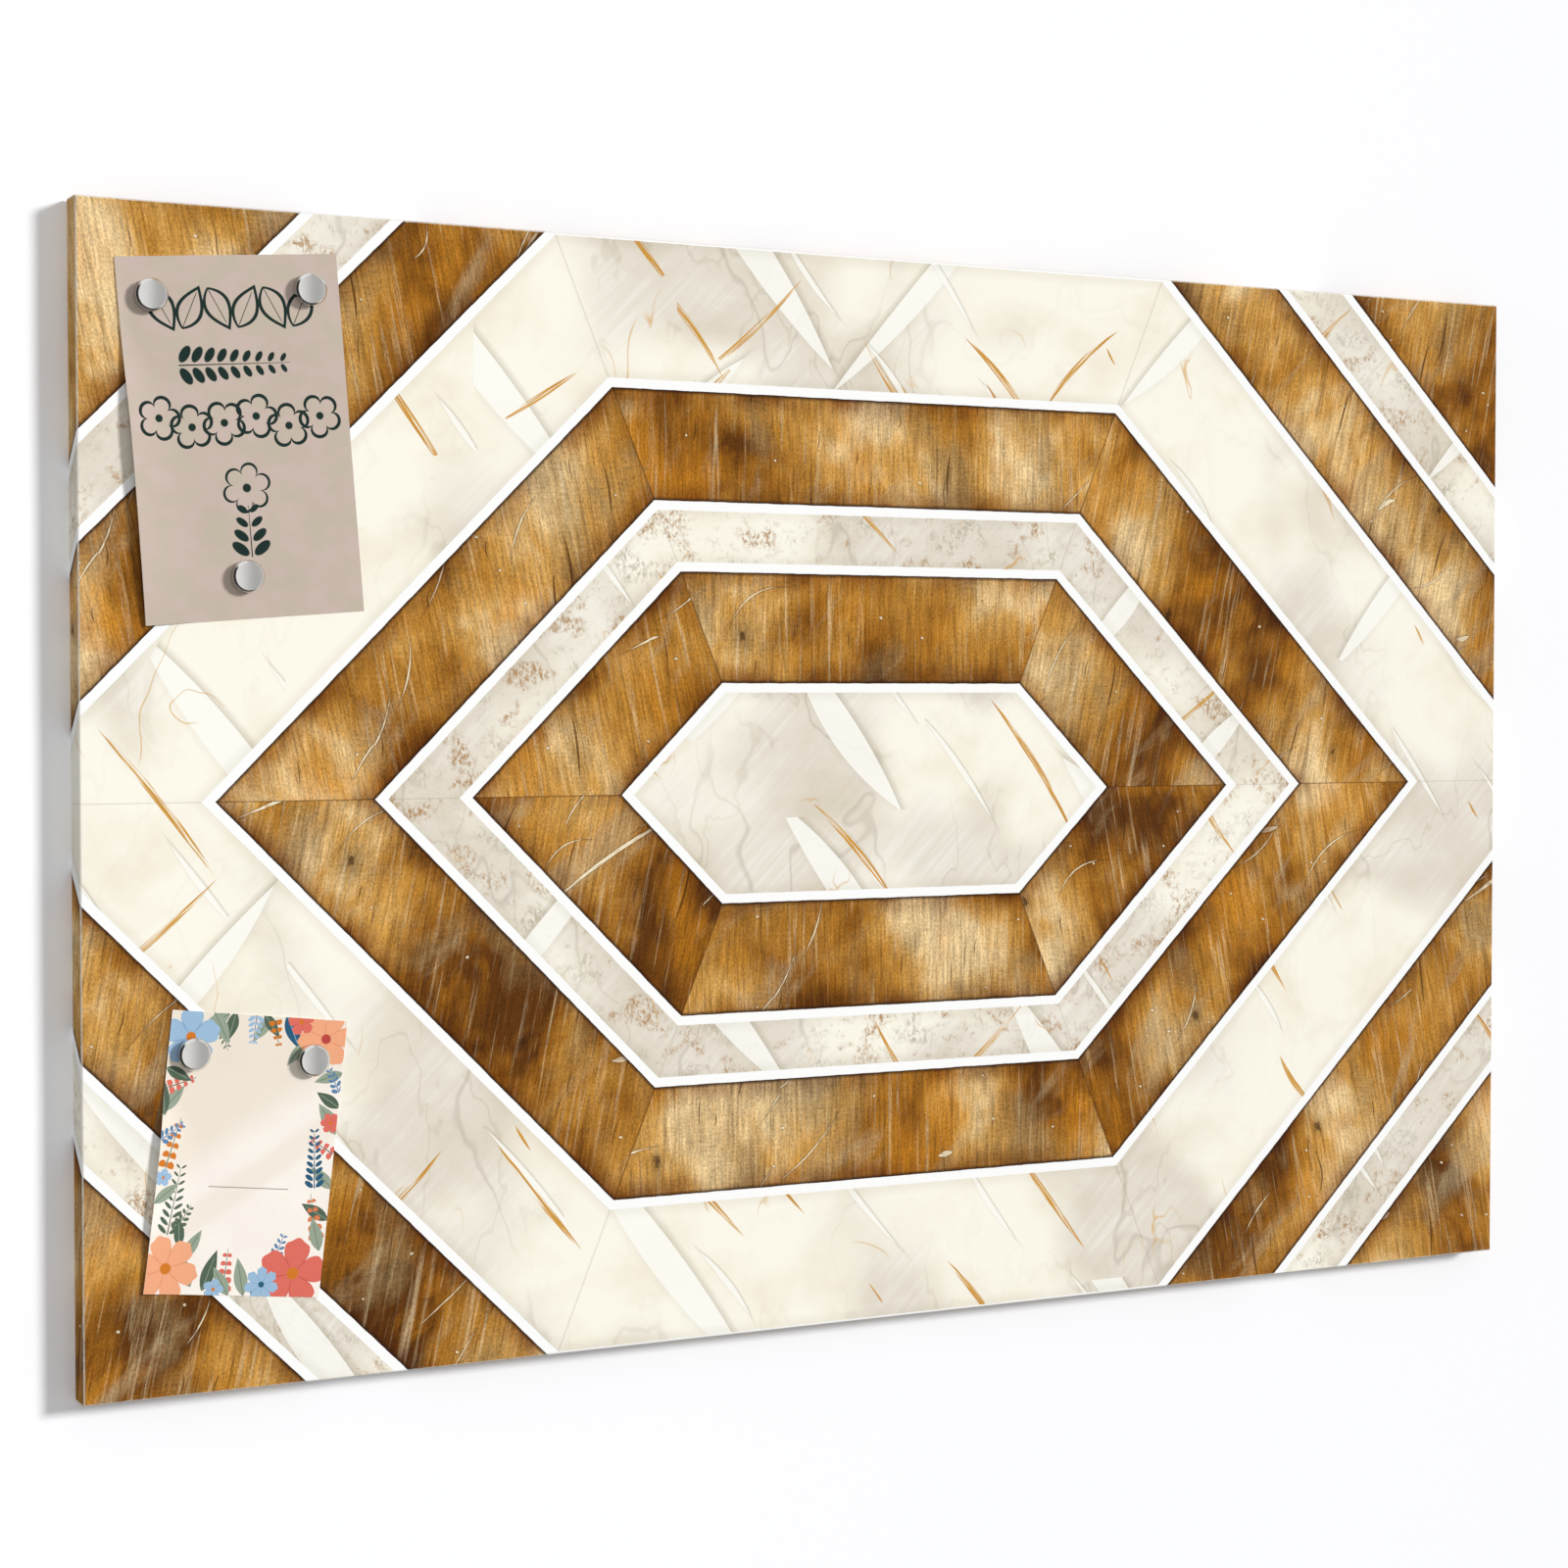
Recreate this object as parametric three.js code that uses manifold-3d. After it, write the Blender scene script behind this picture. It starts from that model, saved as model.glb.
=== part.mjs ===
// Magnetic wall board: a folded steel tray with a printed film wrapped round it, wooden rails and core
// panels inside, a screwed back panel with two keyhole hangers, and two paper cards held by five magnets.
// Millimetres. X runs along the board, Z up, the front faces -Y. The origin is the middle of the rear face,
// which lies against the wall.
import * as THREE from "three";
import { mergeVertices } from "three/addons/utils/BufferGeometryUtils.js";
import Module from "manifold-3d";

const wasm = await Module();
wasm.setup();

// Board
const boardWidth = 900;
const boardHeight = 600;
const boardDepth = 17;
const glueLine = 0.05;
const cutOverrun = 1;

// Printed film
const filmThickness = 0.25;
const filmTurnIn = 9;

// Steel tray
const sheetThickness = 0.6;
const bendRadius = 0.5;
const trayLip = 14;
const seamGap = 0.4;

// Wooden rails
const railWidth = 50;
const railArris = 0.8;
const railSlack = 0.15;
const railJointGap = 0.3;
const rebateSlack = 0.4;
const middleRailWidth = 44;

// Core panels
const coreSlack = 1;

// Back panel
const panelThickness = 3;
const panelSlack = 0.7;
const panelCornerRadius = 4;

// Panel screws
const panelScrewShank = 3;
const panelScrewHead = 5.8;
const panelScrewLength = 12;
const panelScrewSink = 0.2;
const panelScrewEdge = 15;
const screwSlack = 0.15;
const pilotRunout = 1;

// Keyhole hangers
const hangerLength = 48;
const hangerHeight = 20;
const hangerThickness = 1.2;
const hangerCornerRadius = 4;
const hangerFromSide = 100;
const hangerWindowSlack = 2;
const keyholeEntry = 9;
const keyholeSlot = 4.6;
const keyholeTravel = 7.5;
const wallScrewHeadRoom = 1;
const wallScrewPocketDepth = 7;

// Hanger screws
const hangerScrewShank = 3;
const hangerScrewHead = 6;
const hangerScrewHeadHeight = 1.4;
const hangerScrewLength = 11;
const hangerScrewSpacing = 34;

// Cross recess in every screw head
const recessSpan = 2.6;
const recessWidth = 0.7;
const recessDepth = 0.7;

// Magnets
const capDiameter = 16.4;
const capHeight = 6;
const capBevel = 1.1;
const capFootBevel = 0.3;
const discDiameter = 13;
const discThickness = 3;
const discSlack = 0.15;
const discSet = 0.1;

// Cards, each with the place of its middle from two of the board's edges
const cardThickness = 0.35;
const noteCard = {
  name: "note_card",
  width: 115,
  height: 183,
  fromLeft: 83.6,
  fromTop: 115.8,
  tilt: 4.5,
  lift: 5,
  curlWidth: 34,
  heldCurlWidth: 6.5,
  heldBelowTop: 31,
};
const inviteCard = {
  name: "invite_card",
  width: 92.5,
  height: 143,
  fromLeft: 84,
  fromBottom: 119.8,
  tilt: -6.5,
  lift: 4,
  curlWidth: 24,
  heldCurlWidth: 3.8,
  heldBelowTop: 33,
};
const cardCornerLiftShare = 0.35;

// Magnet places, from the left or right edge and from the top or bottom edge of their card
const magnetPlaces = [
  { card: noteCard, fromLeft: 16.3, fromTop: 19.5 },
  { card: noteCard, fromRight: 16.1, fromTop: 18.3 },
  { card: noteCard, fromLeft: 54, fromBottom: 21.4 },
  { card: inviteCard, fromLeft: 12.8, fromTop: 21.4 },
  { card: inviteCard, fromRight: 16.9, fromTop: 20.9 },
];

// Facets of a quarter turn on each kind of round
const bendFacets = 3;
const holeFacets = 4;
const screwFacets = 3;
const magnetFacets = 8;

// Steps of a card's sheet: across the narrow curl beside a magnet, on to the widest curl, up to the height
// where the magnets hold it, and on to its top edge
const heldCurlSteps = 3;
const curlSteps = 6;
const freeEdgeSteps = 12;
const heldEdgeSteps = 3;

// Depths, from the wall plane at zero towards the room
const frontFace = -boardDepth;
const trayFront = frontFace + filmThickness + glueLine;
const trayRear = -filmThickness - glueLine;
const woodFront = trayFront + sheetThickness + glueLine;
const woodRear = trayRear - sheetThickness - glueLine;
const panelFront = -panelThickness;
const seatFace = panelFront - glueLine;

// Insets from the outer edge of the board
const trayInset = filmThickness + glueLine;
const woodInset = trayInset + sheetThickness + railSlack;
const lipInset = trayInset + trayLip;
const panelInset = lipInset + panelSlack;
const rebateInset = lipInset + panelSlack - rebateSlack;
const railInset = woodInset + railWidth;
const hangerInset = (panelInset + railInset) / 2;
const panelScrewInset = panelInset + panelScrewEdge;

const materials = {
  film: new THREE.MeshStandardMaterial({ color: 0xc9a878, roughness: 0.45, metalness: 0 }),
  steel: new THREE.MeshStandardMaterial({ color: 0xe4e4e0, roughness: 0.5, metalness: 0.2 }),
  wood: new THREE.MeshStandardMaterial({ color: 0xd2b184, roughness: 0.8, metalness: 0 }),
  core: new THREE.MeshStandardMaterial({ color: 0xa98c62, roughness: 0.95, metalness: 0 }),
  hardboard: new THREE.MeshStandardMaterial({ color: 0x8a6a48, roughness: 0.7, metalness: 0 }),
  zinc: new THREE.MeshStandardMaterial({ color: 0xb9bcbf, roughness: 0.35, metalness: 1 }),
  cap: new THREE.MeshStandardMaterial({ color: 0xc4c3bf, roughness: 0.28, metalness: 1 }),
  nickel: new THREE.MeshStandardMaterial({ color: 0x9c9c9a, roughness: 0.2, metalness: 1 }),
  notePaper: new THREE.MeshStandardMaterial({ color: 0xc7b6aa, roughness: 0.85, metalness: 0 }),
  invitePaper: new THREE.MeshStandardMaterial({ color: 0xfdf3e8, roughness: 0.85, metalness: 0 }),
};

// A closed geometry as a solid that can be joined and cut
function solidOf(geometry) {
  const bare = geometry.clone();
  bare.deleteAttribute("normal");
  bare.deleteAttribute("uv");
  const merged = mergeVertices(bare);
  return new wasm.Manifold(
    new wasm.Mesh({
      numProp: 3,
      vertProperties: merged.attributes.position.array,
      triVerts: new Uint32Array(merged.index.array),
    }),
  );
}

function geometryOf(solid) {
  const mesh = solid.getMesh();
  const positions = new Float32Array(mesh.numVert * 3);
  for (let i = 0; i < mesh.numVert; i++) {
    positions.set(mesh.vertProperties.subarray(i * mesh.numProp, i * mesh.numProp + 3), i * 3);
  }
  const geometry = new THREE.BufferGeometry();
  geometry.setAttribute("position", new THREE.BufferAttribute(positions, 3));
  geometry.setIndex(new THREE.BufferAttribute(new Uint32Array(mesh.triVerts), 1));
  geometry.computeVertexNormals();
  return geometry;
}

const cut = (geometry, ...tools) =>
  geometryOf(tools.reduce((left, tool) => left.subtract(solidOf(tool)), solidOf(geometry)));

// A rectangle from (-width/2, low) to (width/2, high), with corners rounded where a radius is given
function rectangle(width, low, high, radius = 0) {
  const half = width / 2;
  const shape = new THREE.Shape();
  if (radius === 0) {
    shape.moveTo(-half, low);
    shape.lineTo(half, low);
    shape.lineTo(half, high);
    shape.lineTo(-half, high);
    return shape;
  }
  shape.absarc(half - radius, low + radius, radius, -Math.PI / 2, 0);
  shape.absarc(half - radius, high - radius, radius, 0, Math.PI / 2);
  shape.absarc(-half + radius, high - radius, radius, Math.PI / 2, Math.PI);
  shape.absarc(-half + radius, low + radius, radius, Math.PI, (3 * Math.PI) / 2);
  return shape;
}

// An outline in the board's plane (x, z), given thickness from one depth to another
function plate(shape, fromY, toY, facets) {
  const geometry = new THREE.ExtrudeGeometry(shape, {
    depth: toY - fromY,
    bevelEnabled: false,
    curveSegments: facets,
  });
  geometry.rotateX(Math.PI / 2);
  return geometry.translate(0, toY, 0);
}

const block = (width, height, fromY, toY, x = 0, z = 0) =>
  plate(rectangle(width, -height / 2, height / 2), fromY, toY, 1).translate(x, 0, z);

// A turned solid about Y, from [radius, depth] points that start and end on the axis or close on themselves
function turned(profile, facets) {
  const points = profile.map(([radius, y]) => new THREE.Vector2(radius, y));
  return new THREE.LatheGeometry(points, 4 * facets);
}

const roundBar = (diameter, fromY, toY, facets, x = 0, z = 0) =>
  turned([[0, fromY], [diameter / 2, fromY], [diameter / 2, toY], [0, toY]], facets).translate(x, 0, z);

// A slab with rounded long edges: two bars, one along each side, share it where they cross
function foldedBlock(width, height, fromY, toY, radius) {
  const section = (size) => rectangle(size, fromY, toY, radius);
  const settings = (length) => ({ depth: length, bevelEnabled: false, curveSegments: bendFacets });
  const alongZ = new THREE.ExtrudeGeometry(section(width), settings(height));
  alongZ.translate(0, 0, -height / 2);
  const alongX = new THREE.ExtrudeGeometry(section(height), settings(width));
  alongX.translate(0, 0, -width / 2);
  alongX.rotateY(Math.PI / 2);
  return solidOf(alongZ).intersect(solidOf(alongX));
}

// A sheet folded round a slab: front, four sides, and a lip turned in at the rear
function foldedShell(inset, fromY, toY, thickness, outerRadius, lip) {
  const width = boardWidth - 2 * inset;
  const height = boardHeight - 2 * inset;
  const outside = foldedBlock(width, height, fromY, toY, outerRadius);
  const inside = foldedBlock(
    width - 2 * thickness,
    height - 2 * thickness,
    fromY + thickness,
    toY - thickness,
    outerRadius - thickness,
  );
  const window = block(
    width - 2 * lip,
    height - 2 * lip,
    toY - thickness - cutOverrun,
    toY + cutOverrun,
  );
  return outside.subtract(inside).subtract(solidOf(window));
}

function printFilm() {
  const outerRadius = bendRadius + sheetThickness + glueLine + filmThickness;
  return geometryOf(foldedShell(0, frontFace, 0, filmThickness, outerRadius, filmTurnIn));
}

// The tray's sides and lips are folded up from one sheet, so an open seam runs down each corner
function steelTray() {
  const outerRadius = bendRadius + sheetThickness;
  let tray = foldedShell(trayInset, trayFront, trayRear, sheetThickness, outerRadius, trayLip);
  const reach = trayLip + cutOverrun;
  const frontEnd = trayFront + sheetThickness + bendRadius;
  for (const sideX of [-1, 1]) {
    for (const sideZ of [-1, 1]) {
      const seam = plate(rectangle(seamGap, -reach, cutOverrun), frontEnd, cutOverrun, 1);
      seam.scale(1, 1, Math.SQRT2);
      seam.rotateY((-sideX * sideZ * Math.PI) / 4 + (sideZ < 0 ? Math.PI : 0));
      seam.translate(sideX * (boardWidth / 2 - trayInset), 0, sideZ * (boardHeight / 2 - trayInset));
      tray = tray.subtract(solidOf(seam));
    }
  }
  return geometryOf(tray);
}

// Section of a rail across its width: u runs in from the board's edge, the rebate takes the back panel
function railSection() {
  const shape = new THREE.Shape();
  shape.moveTo(woodInset + railArris, woodFront);
  shape.lineTo(railInset, woodFront);
  shape.lineTo(railInset, seatFace);
  shape.lineTo(rebateInset, seatFace);
  shape.lineTo(rebateInset, woodRear);
  shape.lineTo(woodInset + railArris, woodRear);
  shape.lineTo(woodInset, woodRear - railArris);
  shape.lineTo(woodInset, woodFront + railArris);
  return shape;
}

// A rail along X below a board edge at z = 0, its ends mitred to half the length less the distance in
function mitredRail(length) {
  const geometry = new THREE.ExtrudeGeometry(railSection(), { depth: 1, bevelEnabled: false });
  const points = geometry.attributes.position;
  for (let i = 0; i < points.count; i++) {
    const u = points.getX(i);
    const end = points.getZ(i) === 0 ? -1 : 1;
    const reach = length / 2 - u - railJointGap / 2;
    points.setXYZ(i, end * reach, points.getY(i), -u);
  }
  return geometry;
}

const panelWidth = boardWidth - 2 * panelInset;
const panelHeight = boardHeight - 2 * panelInset;
const railWindowWidth = boardWidth - 2 * railInset;
const railWindowHeight = boardHeight - 2 * railInset;
const screwReachX = boardWidth / 2 - panelScrewInset;
const screwReachZ = boardHeight / 2 - panelScrewInset;

// Shares of the screws' reach along and up the panel, and the rail that each one bites into. The end screws
// stand clear of the mitres.
const panelScrewShares = [
  { rail: "top_rail", x: -0.94, z: 1 },
  { rail: "top_rail", x: -1 / 3, z: 1 },
  { rail: "top_rail", x: 1 / 3, z: 1 },
  { rail: "top_rail", x: 0.94, z: 1 },
  { rail: "bottom_rail", x: -0.94, z: -1 },
  { rail: "bottom_rail", x: -1 / 3, z: -1 },
  { rail: "bottom_rail", x: 1 / 3, z: -1 },
  { rail: "bottom_rail", x: 0.94, z: -1 },
  { rail: "left_rail", x: -1, z: 0 },
  { rail: "right_rail", x: 1, z: 0 },
  { rail: "middle_rail", x: 0, z: 1 / 3 },
  { rail: "middle_rail", x: 0, z: -1 / 3 },
];
const panelScrews = panelScrewShares.map(({ rail, x, z }) => ({
  rail,
  x: x * screwReachX,
  z: z * screwReachZ,
}));

const hangers = [-1, 1].map((side) => ({
  name: side < 0 ? "left_hanger" : "right_hanger",
  x: side * (boardWidth / 2 - hangerFromSide),
  z: boardHeight / 2 - hangerInset,
}));

const pilotDiameter = (shank) => shank + 2 * screwSlack;

const panelPilots = (rail) =>
  panelScrews
    .filter((screw) => screw.rail === rail)
    .map(({ x, z }) =>
      roundBar(
        pilotDiameter(panelScrewShank),
        -panelScrewSink - panelScrewLength - pilotRunout,
        cutOverrun,
        screwFacets,
        x,
        z,
      ),
    );

// A keyhole outline about the hanger's middle: a round entry below, a slot that runs up from it
function keyholeShape(entry, slot, travel) {
  const shape = new THREE.Shape();
  const entryRadius = entry / 2;
  const slotRadius = slot / 2;
  const entryZ = -travel / 2;
  const meet = Math.asin(slotRadius / entryRadius);
  shape.absarc(0, -entryZ, slotRadius, 0, Math.PI);
  shape.absarc(0, entryZ, entryRadius, Math.PI / 2 + meet, Math.PI / 2 - meet + 2 * Math.PI);
  return shape;
}

// Room behind each keyhole for the head of the wall screw: as wide as the entry all the way up
function pocketShape() {
  const radius = keyholeEntry / 2 + wallScrewHeadRoom;
  const shape = new THREE.Shape();
  shape.absarc(0, keyholeTravel / 2, radius, 0, Math.PI);
  shape.absarc(0, -keyholeTravel / 2, radius, Math.PI, 2 * Math.PI);
  return shape;
}

const hangerPilots = () =>
  hangers.flatMap(({ x, z }) =>
    [-1, 1].map((side) =>
      roundBar(
        pilotDiameter(hangerScrewShank),
        seatFace + hangerThickness - hangerScrewLength - pilotRunout,
        cutOverrun,
        screwFacets,
        x + (side * hangerScrewSpacing) / 2,
        z,
      ),
    ),
  );

function topRail() {
  const pockets = hangers.map(({ x, z }) =>
    plate(pocketShape(), seatFace - wallScrewPocketDepth, cutOverrun, holeFacets).translate(x, 0, z),
  );
  const rail = mitredRail(boardWidth).translate(0, 0, boardHeight / 2);
  return cut(rail, ...panelPilots("top_rail"), ...hangerPilots(), ...pockets);
}

function bottomRail() {
  const rail = mitredRail(boardWidth).rotateY(Math.PI).translate(0, 0, -boardHeight / 2);
  return cut(rail, ...panelPilots("bottom_rail"));
}

function sideRail(name, side) {
  const rail = mitredRail(boardHeight).rotateY((side * Math.PI) / 2);
  return cut(rail.translate((side * boardWidth) / 2, 0, 0), ...panelPilots(name));
}

function middleRail() {
  const height = railWindowHeight - 2 * railJointGap;
  return cut(block(middleRailWidth, height, woodFront, seatFace), ...panelPilots("middle_rail"));
}

function corePanel(side) {
  const bay = (railWindowWidth - middleRailWidth) / 2;
  const x = (side * (middleRailWidth + bay)) / 2;
  return block(bay - 2 * coreSlack, railWindowHeight - 2 * coreSlack, woodFront, seatFace, x);
}

// Countersunk hole: the cone of the screw head with the screw's clearance, and the shank's bore
const countersink = (x, z) =>
  turned(
    [
      [0, -panelThickness - cutOverrun],
      [panelScrewShank / 2 + screwSlack, -panelThickness - cutOverrun],
      [panelScrewShank / 2 + screwSlack, -panelScrewSink - (panelScrewHead - panelScrewShank) / 2],
      [panelScrewHead / 2 + screwSlack, -panelScrewSink],
      [panelScrewHead / 2 + screwSlack, cutOverrun],
      [0, cutOverrun],
    ],
    screwFacets,
  ).translate(x, 0, z);

function backPanel() {
  const outline = rectangle(panelWidth, -panelHeight / 2, panelHeight / 2, panelCornerRadius);
  const windowHeight = hangerHeight + 2 * hangerWindowSlack;
  const window = rectangle(
    hangerLength + 2 * hangerWindowSlack,
    -windowHeight / 2,
    windowHeight / 2,
    hangerCornerRadius + hangerWindowSlack,
  );
  return cut(
    plate(outline, panelFront, 0, holeFacets),
    ...panelScrews.map(({ x, z }) => countersink(x, z)),
    ...hangers.map(({ x, z }) =>
      plate(window, panelFront - cutOverrun, cutOverrun, holeFacets).translate(x, 0, z),
    ),
  );
}

// A cross recess cut into a screw head whose rear face lies at headY
function withRecess(geometry, headY) {
  const arm = (width, height) => block(width, height, headY - recessDepth, headY + cutOverrun);
  return cut(geometry, arm(recessSpan, recessWidth), arm(recessWidth, recessSpan));
}

// Screws are made about the origin, their head's rear face at y = 0
function panelScrew() {
  const coneDepth = (panelScrewHead - panelScrewShank) / 2;
  const shankEnd = -panelScrewLength + panelScrewShank / 2;
  const profile = [
    [0, -panelScrewLength],
    [panelScrewShank / 2, shankEnd],
    [panelScrewShank / 2, -coneDepth],
    [panelScrewHead / 2, 0],
    [0, 0],
  ];
  return withRecess(turned(profile, screwFacets), 0);
}

function hangerScrew() {
  const underHead = -hangerScrewHeadHeight;
  const tip = underHead - hangerScrewLength;
  const profile = [
    [0, tip],
    [hangerScrewShank / 2, tip + hangerScrewShank / 2],
    [hangerScrewShank / 2, underHead],
    [hangerScrewHead / 2, underHead],
    [hangerScrewHead / 2, underHead / 2],
    [hangerScrewHead / 2 + underHead / 2, 0],
    [0, 0],
  ];
  return withRecess(turned(profile, screwFacets), 0);
}

function hangerPlate() {
  const outline = rectangle(hangerLength, -hangerHeight / 2, hangerHeight / 2, hangerCornerRadius);
  const keyhole = keyholeShape(keyholeEntry, keyholeSlot, keyholeTravel);
  const holes = [-1, 1].map((side) =>
    roundBar(
      pilotDiameter(hangerScrewShank),
      seatFace - cutOverrun,
      cutOverrun,
      screwFacets,
      (side * hangerScrewSpacing) / 2,
    ),
  );
  return cut(
    plate(outline, seatFace, seatFace + hangerThickness, holeFacets),
    plate(keyhole, seatFace - cutOverrun, cutOverrun, holeFacets),
    ...holes,
  );
}

// Turned cap: a round wall with a wide bevel round its face, a small one round its foot, and a bore in the rear
// for the magnet disc
function magnetCap() {
  const capRadius = capDiameter / 2;
  const boreRadius = discDiameter / 2 + discSlack;
  const boreDepth = discThickness + discSet + discSlack;
  const profile = [
    [0, -capHeight],
    [capRadius - capBevel, -capHeight],
    [capRadius, -capHeight + capBevel],
    [capRadius, -capFootBevel],
    [capRadius - capFootBevel, 0],
    [boreRadius, 0],
    [boreRadius, -boreDepth],
    [0, -boreDepth],
  ];
  return turned(profile, magnetFacets);
}

const magnetDisc = () =>
  roundBar(discDiameter, -discSet - discThickness, -discSet, magnetFacets);

// How far a card stands off the board at u in from its left edge and v up from its lower edge
function cardLift(card, u, v) {
  const held = card.height - card.heldBelowTop;
  const release = THREE.MathUtils.smoothstep(v, card.height / 2, held);
  const curl = THREE.MathUtils.lerp(card.curlWidth, card.heldCurlWidth, release);
  if (u >= curl) {
    return 0;
  }
  const alongEdge = 1 - (1 - cardCornerLiftShare) * (2 * (v / card.height) - 1) ** 2;
  return card.lift * alongEdge * (curl / card.curlWidth) * (1 - u / curl) ** 2;
}

// Places from zero through each stretch's end, in that stretch's number of even steps
function stations(stretches) {
  const places = [0];
  let start = 0;
  for (const { end, steps } of stretches) {
    for (let step = 1; step <= steps; step++) {
      places.push(THREE.MathUtils.lerp(start, end, step / steps));
    }
    start = end;
  }
  return places;
}

// A closed sheet about the card's middle, its rear face at y = 0 where it lies on the board
function cardSheet(card) {
  const columns = stations([
    { end: card.heldCurlWidth, steps: heldCurlSteps },
    { end: card.curlWidth, steps: curlSteps },
    { end: card.width, steps: 1 },
  ]);
  const rows = stations([
    { end: card.height - card.heldBelowTop, steps: freeEdgeSteps },
    { end: card.height, steps: heldEdgeSteps },
  ]);
  const positions = [];
  for (const face of [0, -cardThickness]) {
    for (const v of rows) {
      for (const u of columns) {
        positions.push(u - card.width / 2, face - cardLift(card, u, v), v - card.height / 2);
      }
    }
  }
  const across = columns.length;
  const layer = across * rows.length;
  const indices = [];
  const quad = (a, b, c, d) => indices.push(a, b, c, a, c, d);
  for (let row = 0; row < rows.length - 1; row++) {
    for (let column = 0; column < across - 1; column++) {
      const a = row * across + column;
      quad(a, a + across, a + across + 1, a + 1);
      quad(layer + a, layer + a + 1, layer + a + across + 1, layer + a + across);
    }
    const left = row * across;
    const right = left + across - 1;
    quad(left + across, left, layer + left, layer + left + across);
    quad(right, right + across, layer + right + across, layer + right);
  }
  const top = layer - across;
  for (let column = 0; column < across - 1; column++) {
    quad(column, column + 1, layer + column + 1, layer + column);
    quad(top + column + 1, top + column, layer + top + column, layer + top + column + 1);
  }
  const geometry = new THREE.BufferGeometry();
  geometry.setAttribute("position", new THREE.Float32BufferAttribute(positions, 3));
  geometry.setIndex(indices);
  geometry.computeVertexNormals();
  return geometry;
}

const board = new THREE.Group();

function addPiece(parent, name, geometry, material) {
  const piece = new THREE.Mesh(geometry, material);
  piece.name = name;
  parent.add(piece);
  return piece;
}

addPiece(board, "print_film", printFilm(), materials.film);
addPiece(board, "steel_tray", steelTray(), materials.steel);
addPiece(board, "top_rail", topRail(), materials.wood);
addPiece(board, "bottom_rail", bottomRail(), materials.wood);
addPiece(board, "left_rail", sideRail("left_rail", -1), materials.wood);
addPiece(board, "right_rail", sideRail("right_rail", 1), materials.wood);
addPiece(board, "middle_rail", middleRail(), materials.wood);
addPiece(board, "left_core", corePanel(-1), materials.core);
addPiece(board, "right_core", corePanel(1), materials.core);
addPiece(board, "back_panel", backPanel(), materials.hardboard);

panelScrews.forEach(({ x, z }, index) => {
  const screw = addPiece(board, `panel_screw_${index + 1}`, panelScrew(), materials.zinc);
  screw.position.set(x, -panelScrewSink, z);
});

for (const { name, x, z } of hangers) {
  addPiece(board, name, hangerPlate(), materials.zinc).position.set(x, 0, z);
  [-1, 1].forEach((side, index) => {
    const screw = addPiece(board, `${name}_screw_${index + 1}`, hangerScrew(), materials.zinc);
    const headY = seatFace + hangerThickness + hangerScrewHeadHeight;
    screw.position.set(x + (side * hangerScrewSpacing) / 2, headY, z);
  });
}

// The place of something from one pair of edges: measured from the low edge, or else from the high one
const placeBetween = (size, fromLow, fromHigh) =>
  fromLow === undefined ? size / 2 - fromHigh : fromLow - size / 2;

// Each card has a turned group of its own, which also carries its magnets
const cardGroups = new Map();
for (const [card, paper] of [
  [noteCard, materials.notePaper],
  [inviteCard, materials.invitePaper],
]) {
  const group = new THREE.Group();
  const x = placeBetween(boardWidth, card.fromLeft, card.fromRight);
  const z = placeBetween(boardHeight, card.fromBottom, card.fromTop);
  group.position.set(x, frontFace, z);
  group.rotation.y = THREE.MathUtils.degToRad(-card.tilt);
  board.add(group);
  addPiece(group, card.name, cardSheet(card), paper);
  cardGroups.set(card, group);
}

magnetPlaces.forEach((place, index) => {
  const x = placeBetween(place.card.width, place.fromLeft, place.fromRight);
  const z = placeBetween(place.card.height, place.fromBottom, place.fromTop);
  const magnet = new THREE.Group();
  magnet.position.set(x, -cardThickness, z);
  cardGroups.get(place.card).add(magnet);
  addPiece(magnet, `magnet_${index + 1}_cap`, magnetCap(), materials.cap);
  addPiece(magnet, `magnet_${index + 1}_disc`, magnetDisc(), materials.nickel);
});

export default board;
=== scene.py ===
"""Looks of a magnetic wall board, built round its packed CAD model.

Metres. X runs along the board, Z up, the front faces -Y, and the wall plane is y = 0. Materials turn their
coordinates into millimetres first, so the sizes in them are millimetres on the object.
"""

import math

import bmesh
import bpy
from bpy.props import FloatProperty, FloatVectorProperty, IntProperty, PointerProperty
from mathutils import Matrix, Vector


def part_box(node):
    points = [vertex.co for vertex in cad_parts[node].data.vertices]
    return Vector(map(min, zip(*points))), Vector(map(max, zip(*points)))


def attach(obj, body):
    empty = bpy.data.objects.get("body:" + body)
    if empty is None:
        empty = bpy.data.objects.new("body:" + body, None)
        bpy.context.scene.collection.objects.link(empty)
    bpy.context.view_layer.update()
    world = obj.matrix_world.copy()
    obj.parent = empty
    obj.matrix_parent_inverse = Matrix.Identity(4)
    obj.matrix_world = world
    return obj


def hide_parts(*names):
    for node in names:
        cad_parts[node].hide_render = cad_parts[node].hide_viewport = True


bl_info = {
    "name": "Magnetic wall board",
    "version": (1, 0, 0),
    "blender": (4, 5, 0),
    "location": "View3D > Sidebar > Wall board",
    "description": "Builds the finished surfaces of a magnetic wall board round its CAD model",
    "category": "Object",
}

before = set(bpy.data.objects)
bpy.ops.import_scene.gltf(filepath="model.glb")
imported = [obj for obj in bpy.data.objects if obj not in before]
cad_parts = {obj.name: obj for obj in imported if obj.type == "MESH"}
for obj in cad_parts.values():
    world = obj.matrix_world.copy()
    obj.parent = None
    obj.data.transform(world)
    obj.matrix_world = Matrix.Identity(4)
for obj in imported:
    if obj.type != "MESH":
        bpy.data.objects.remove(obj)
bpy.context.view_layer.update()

MM = 0.001
PER_METRE = 1000.0
WHITE = (1.0, 1.0, 1.0, 1.0)


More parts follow.
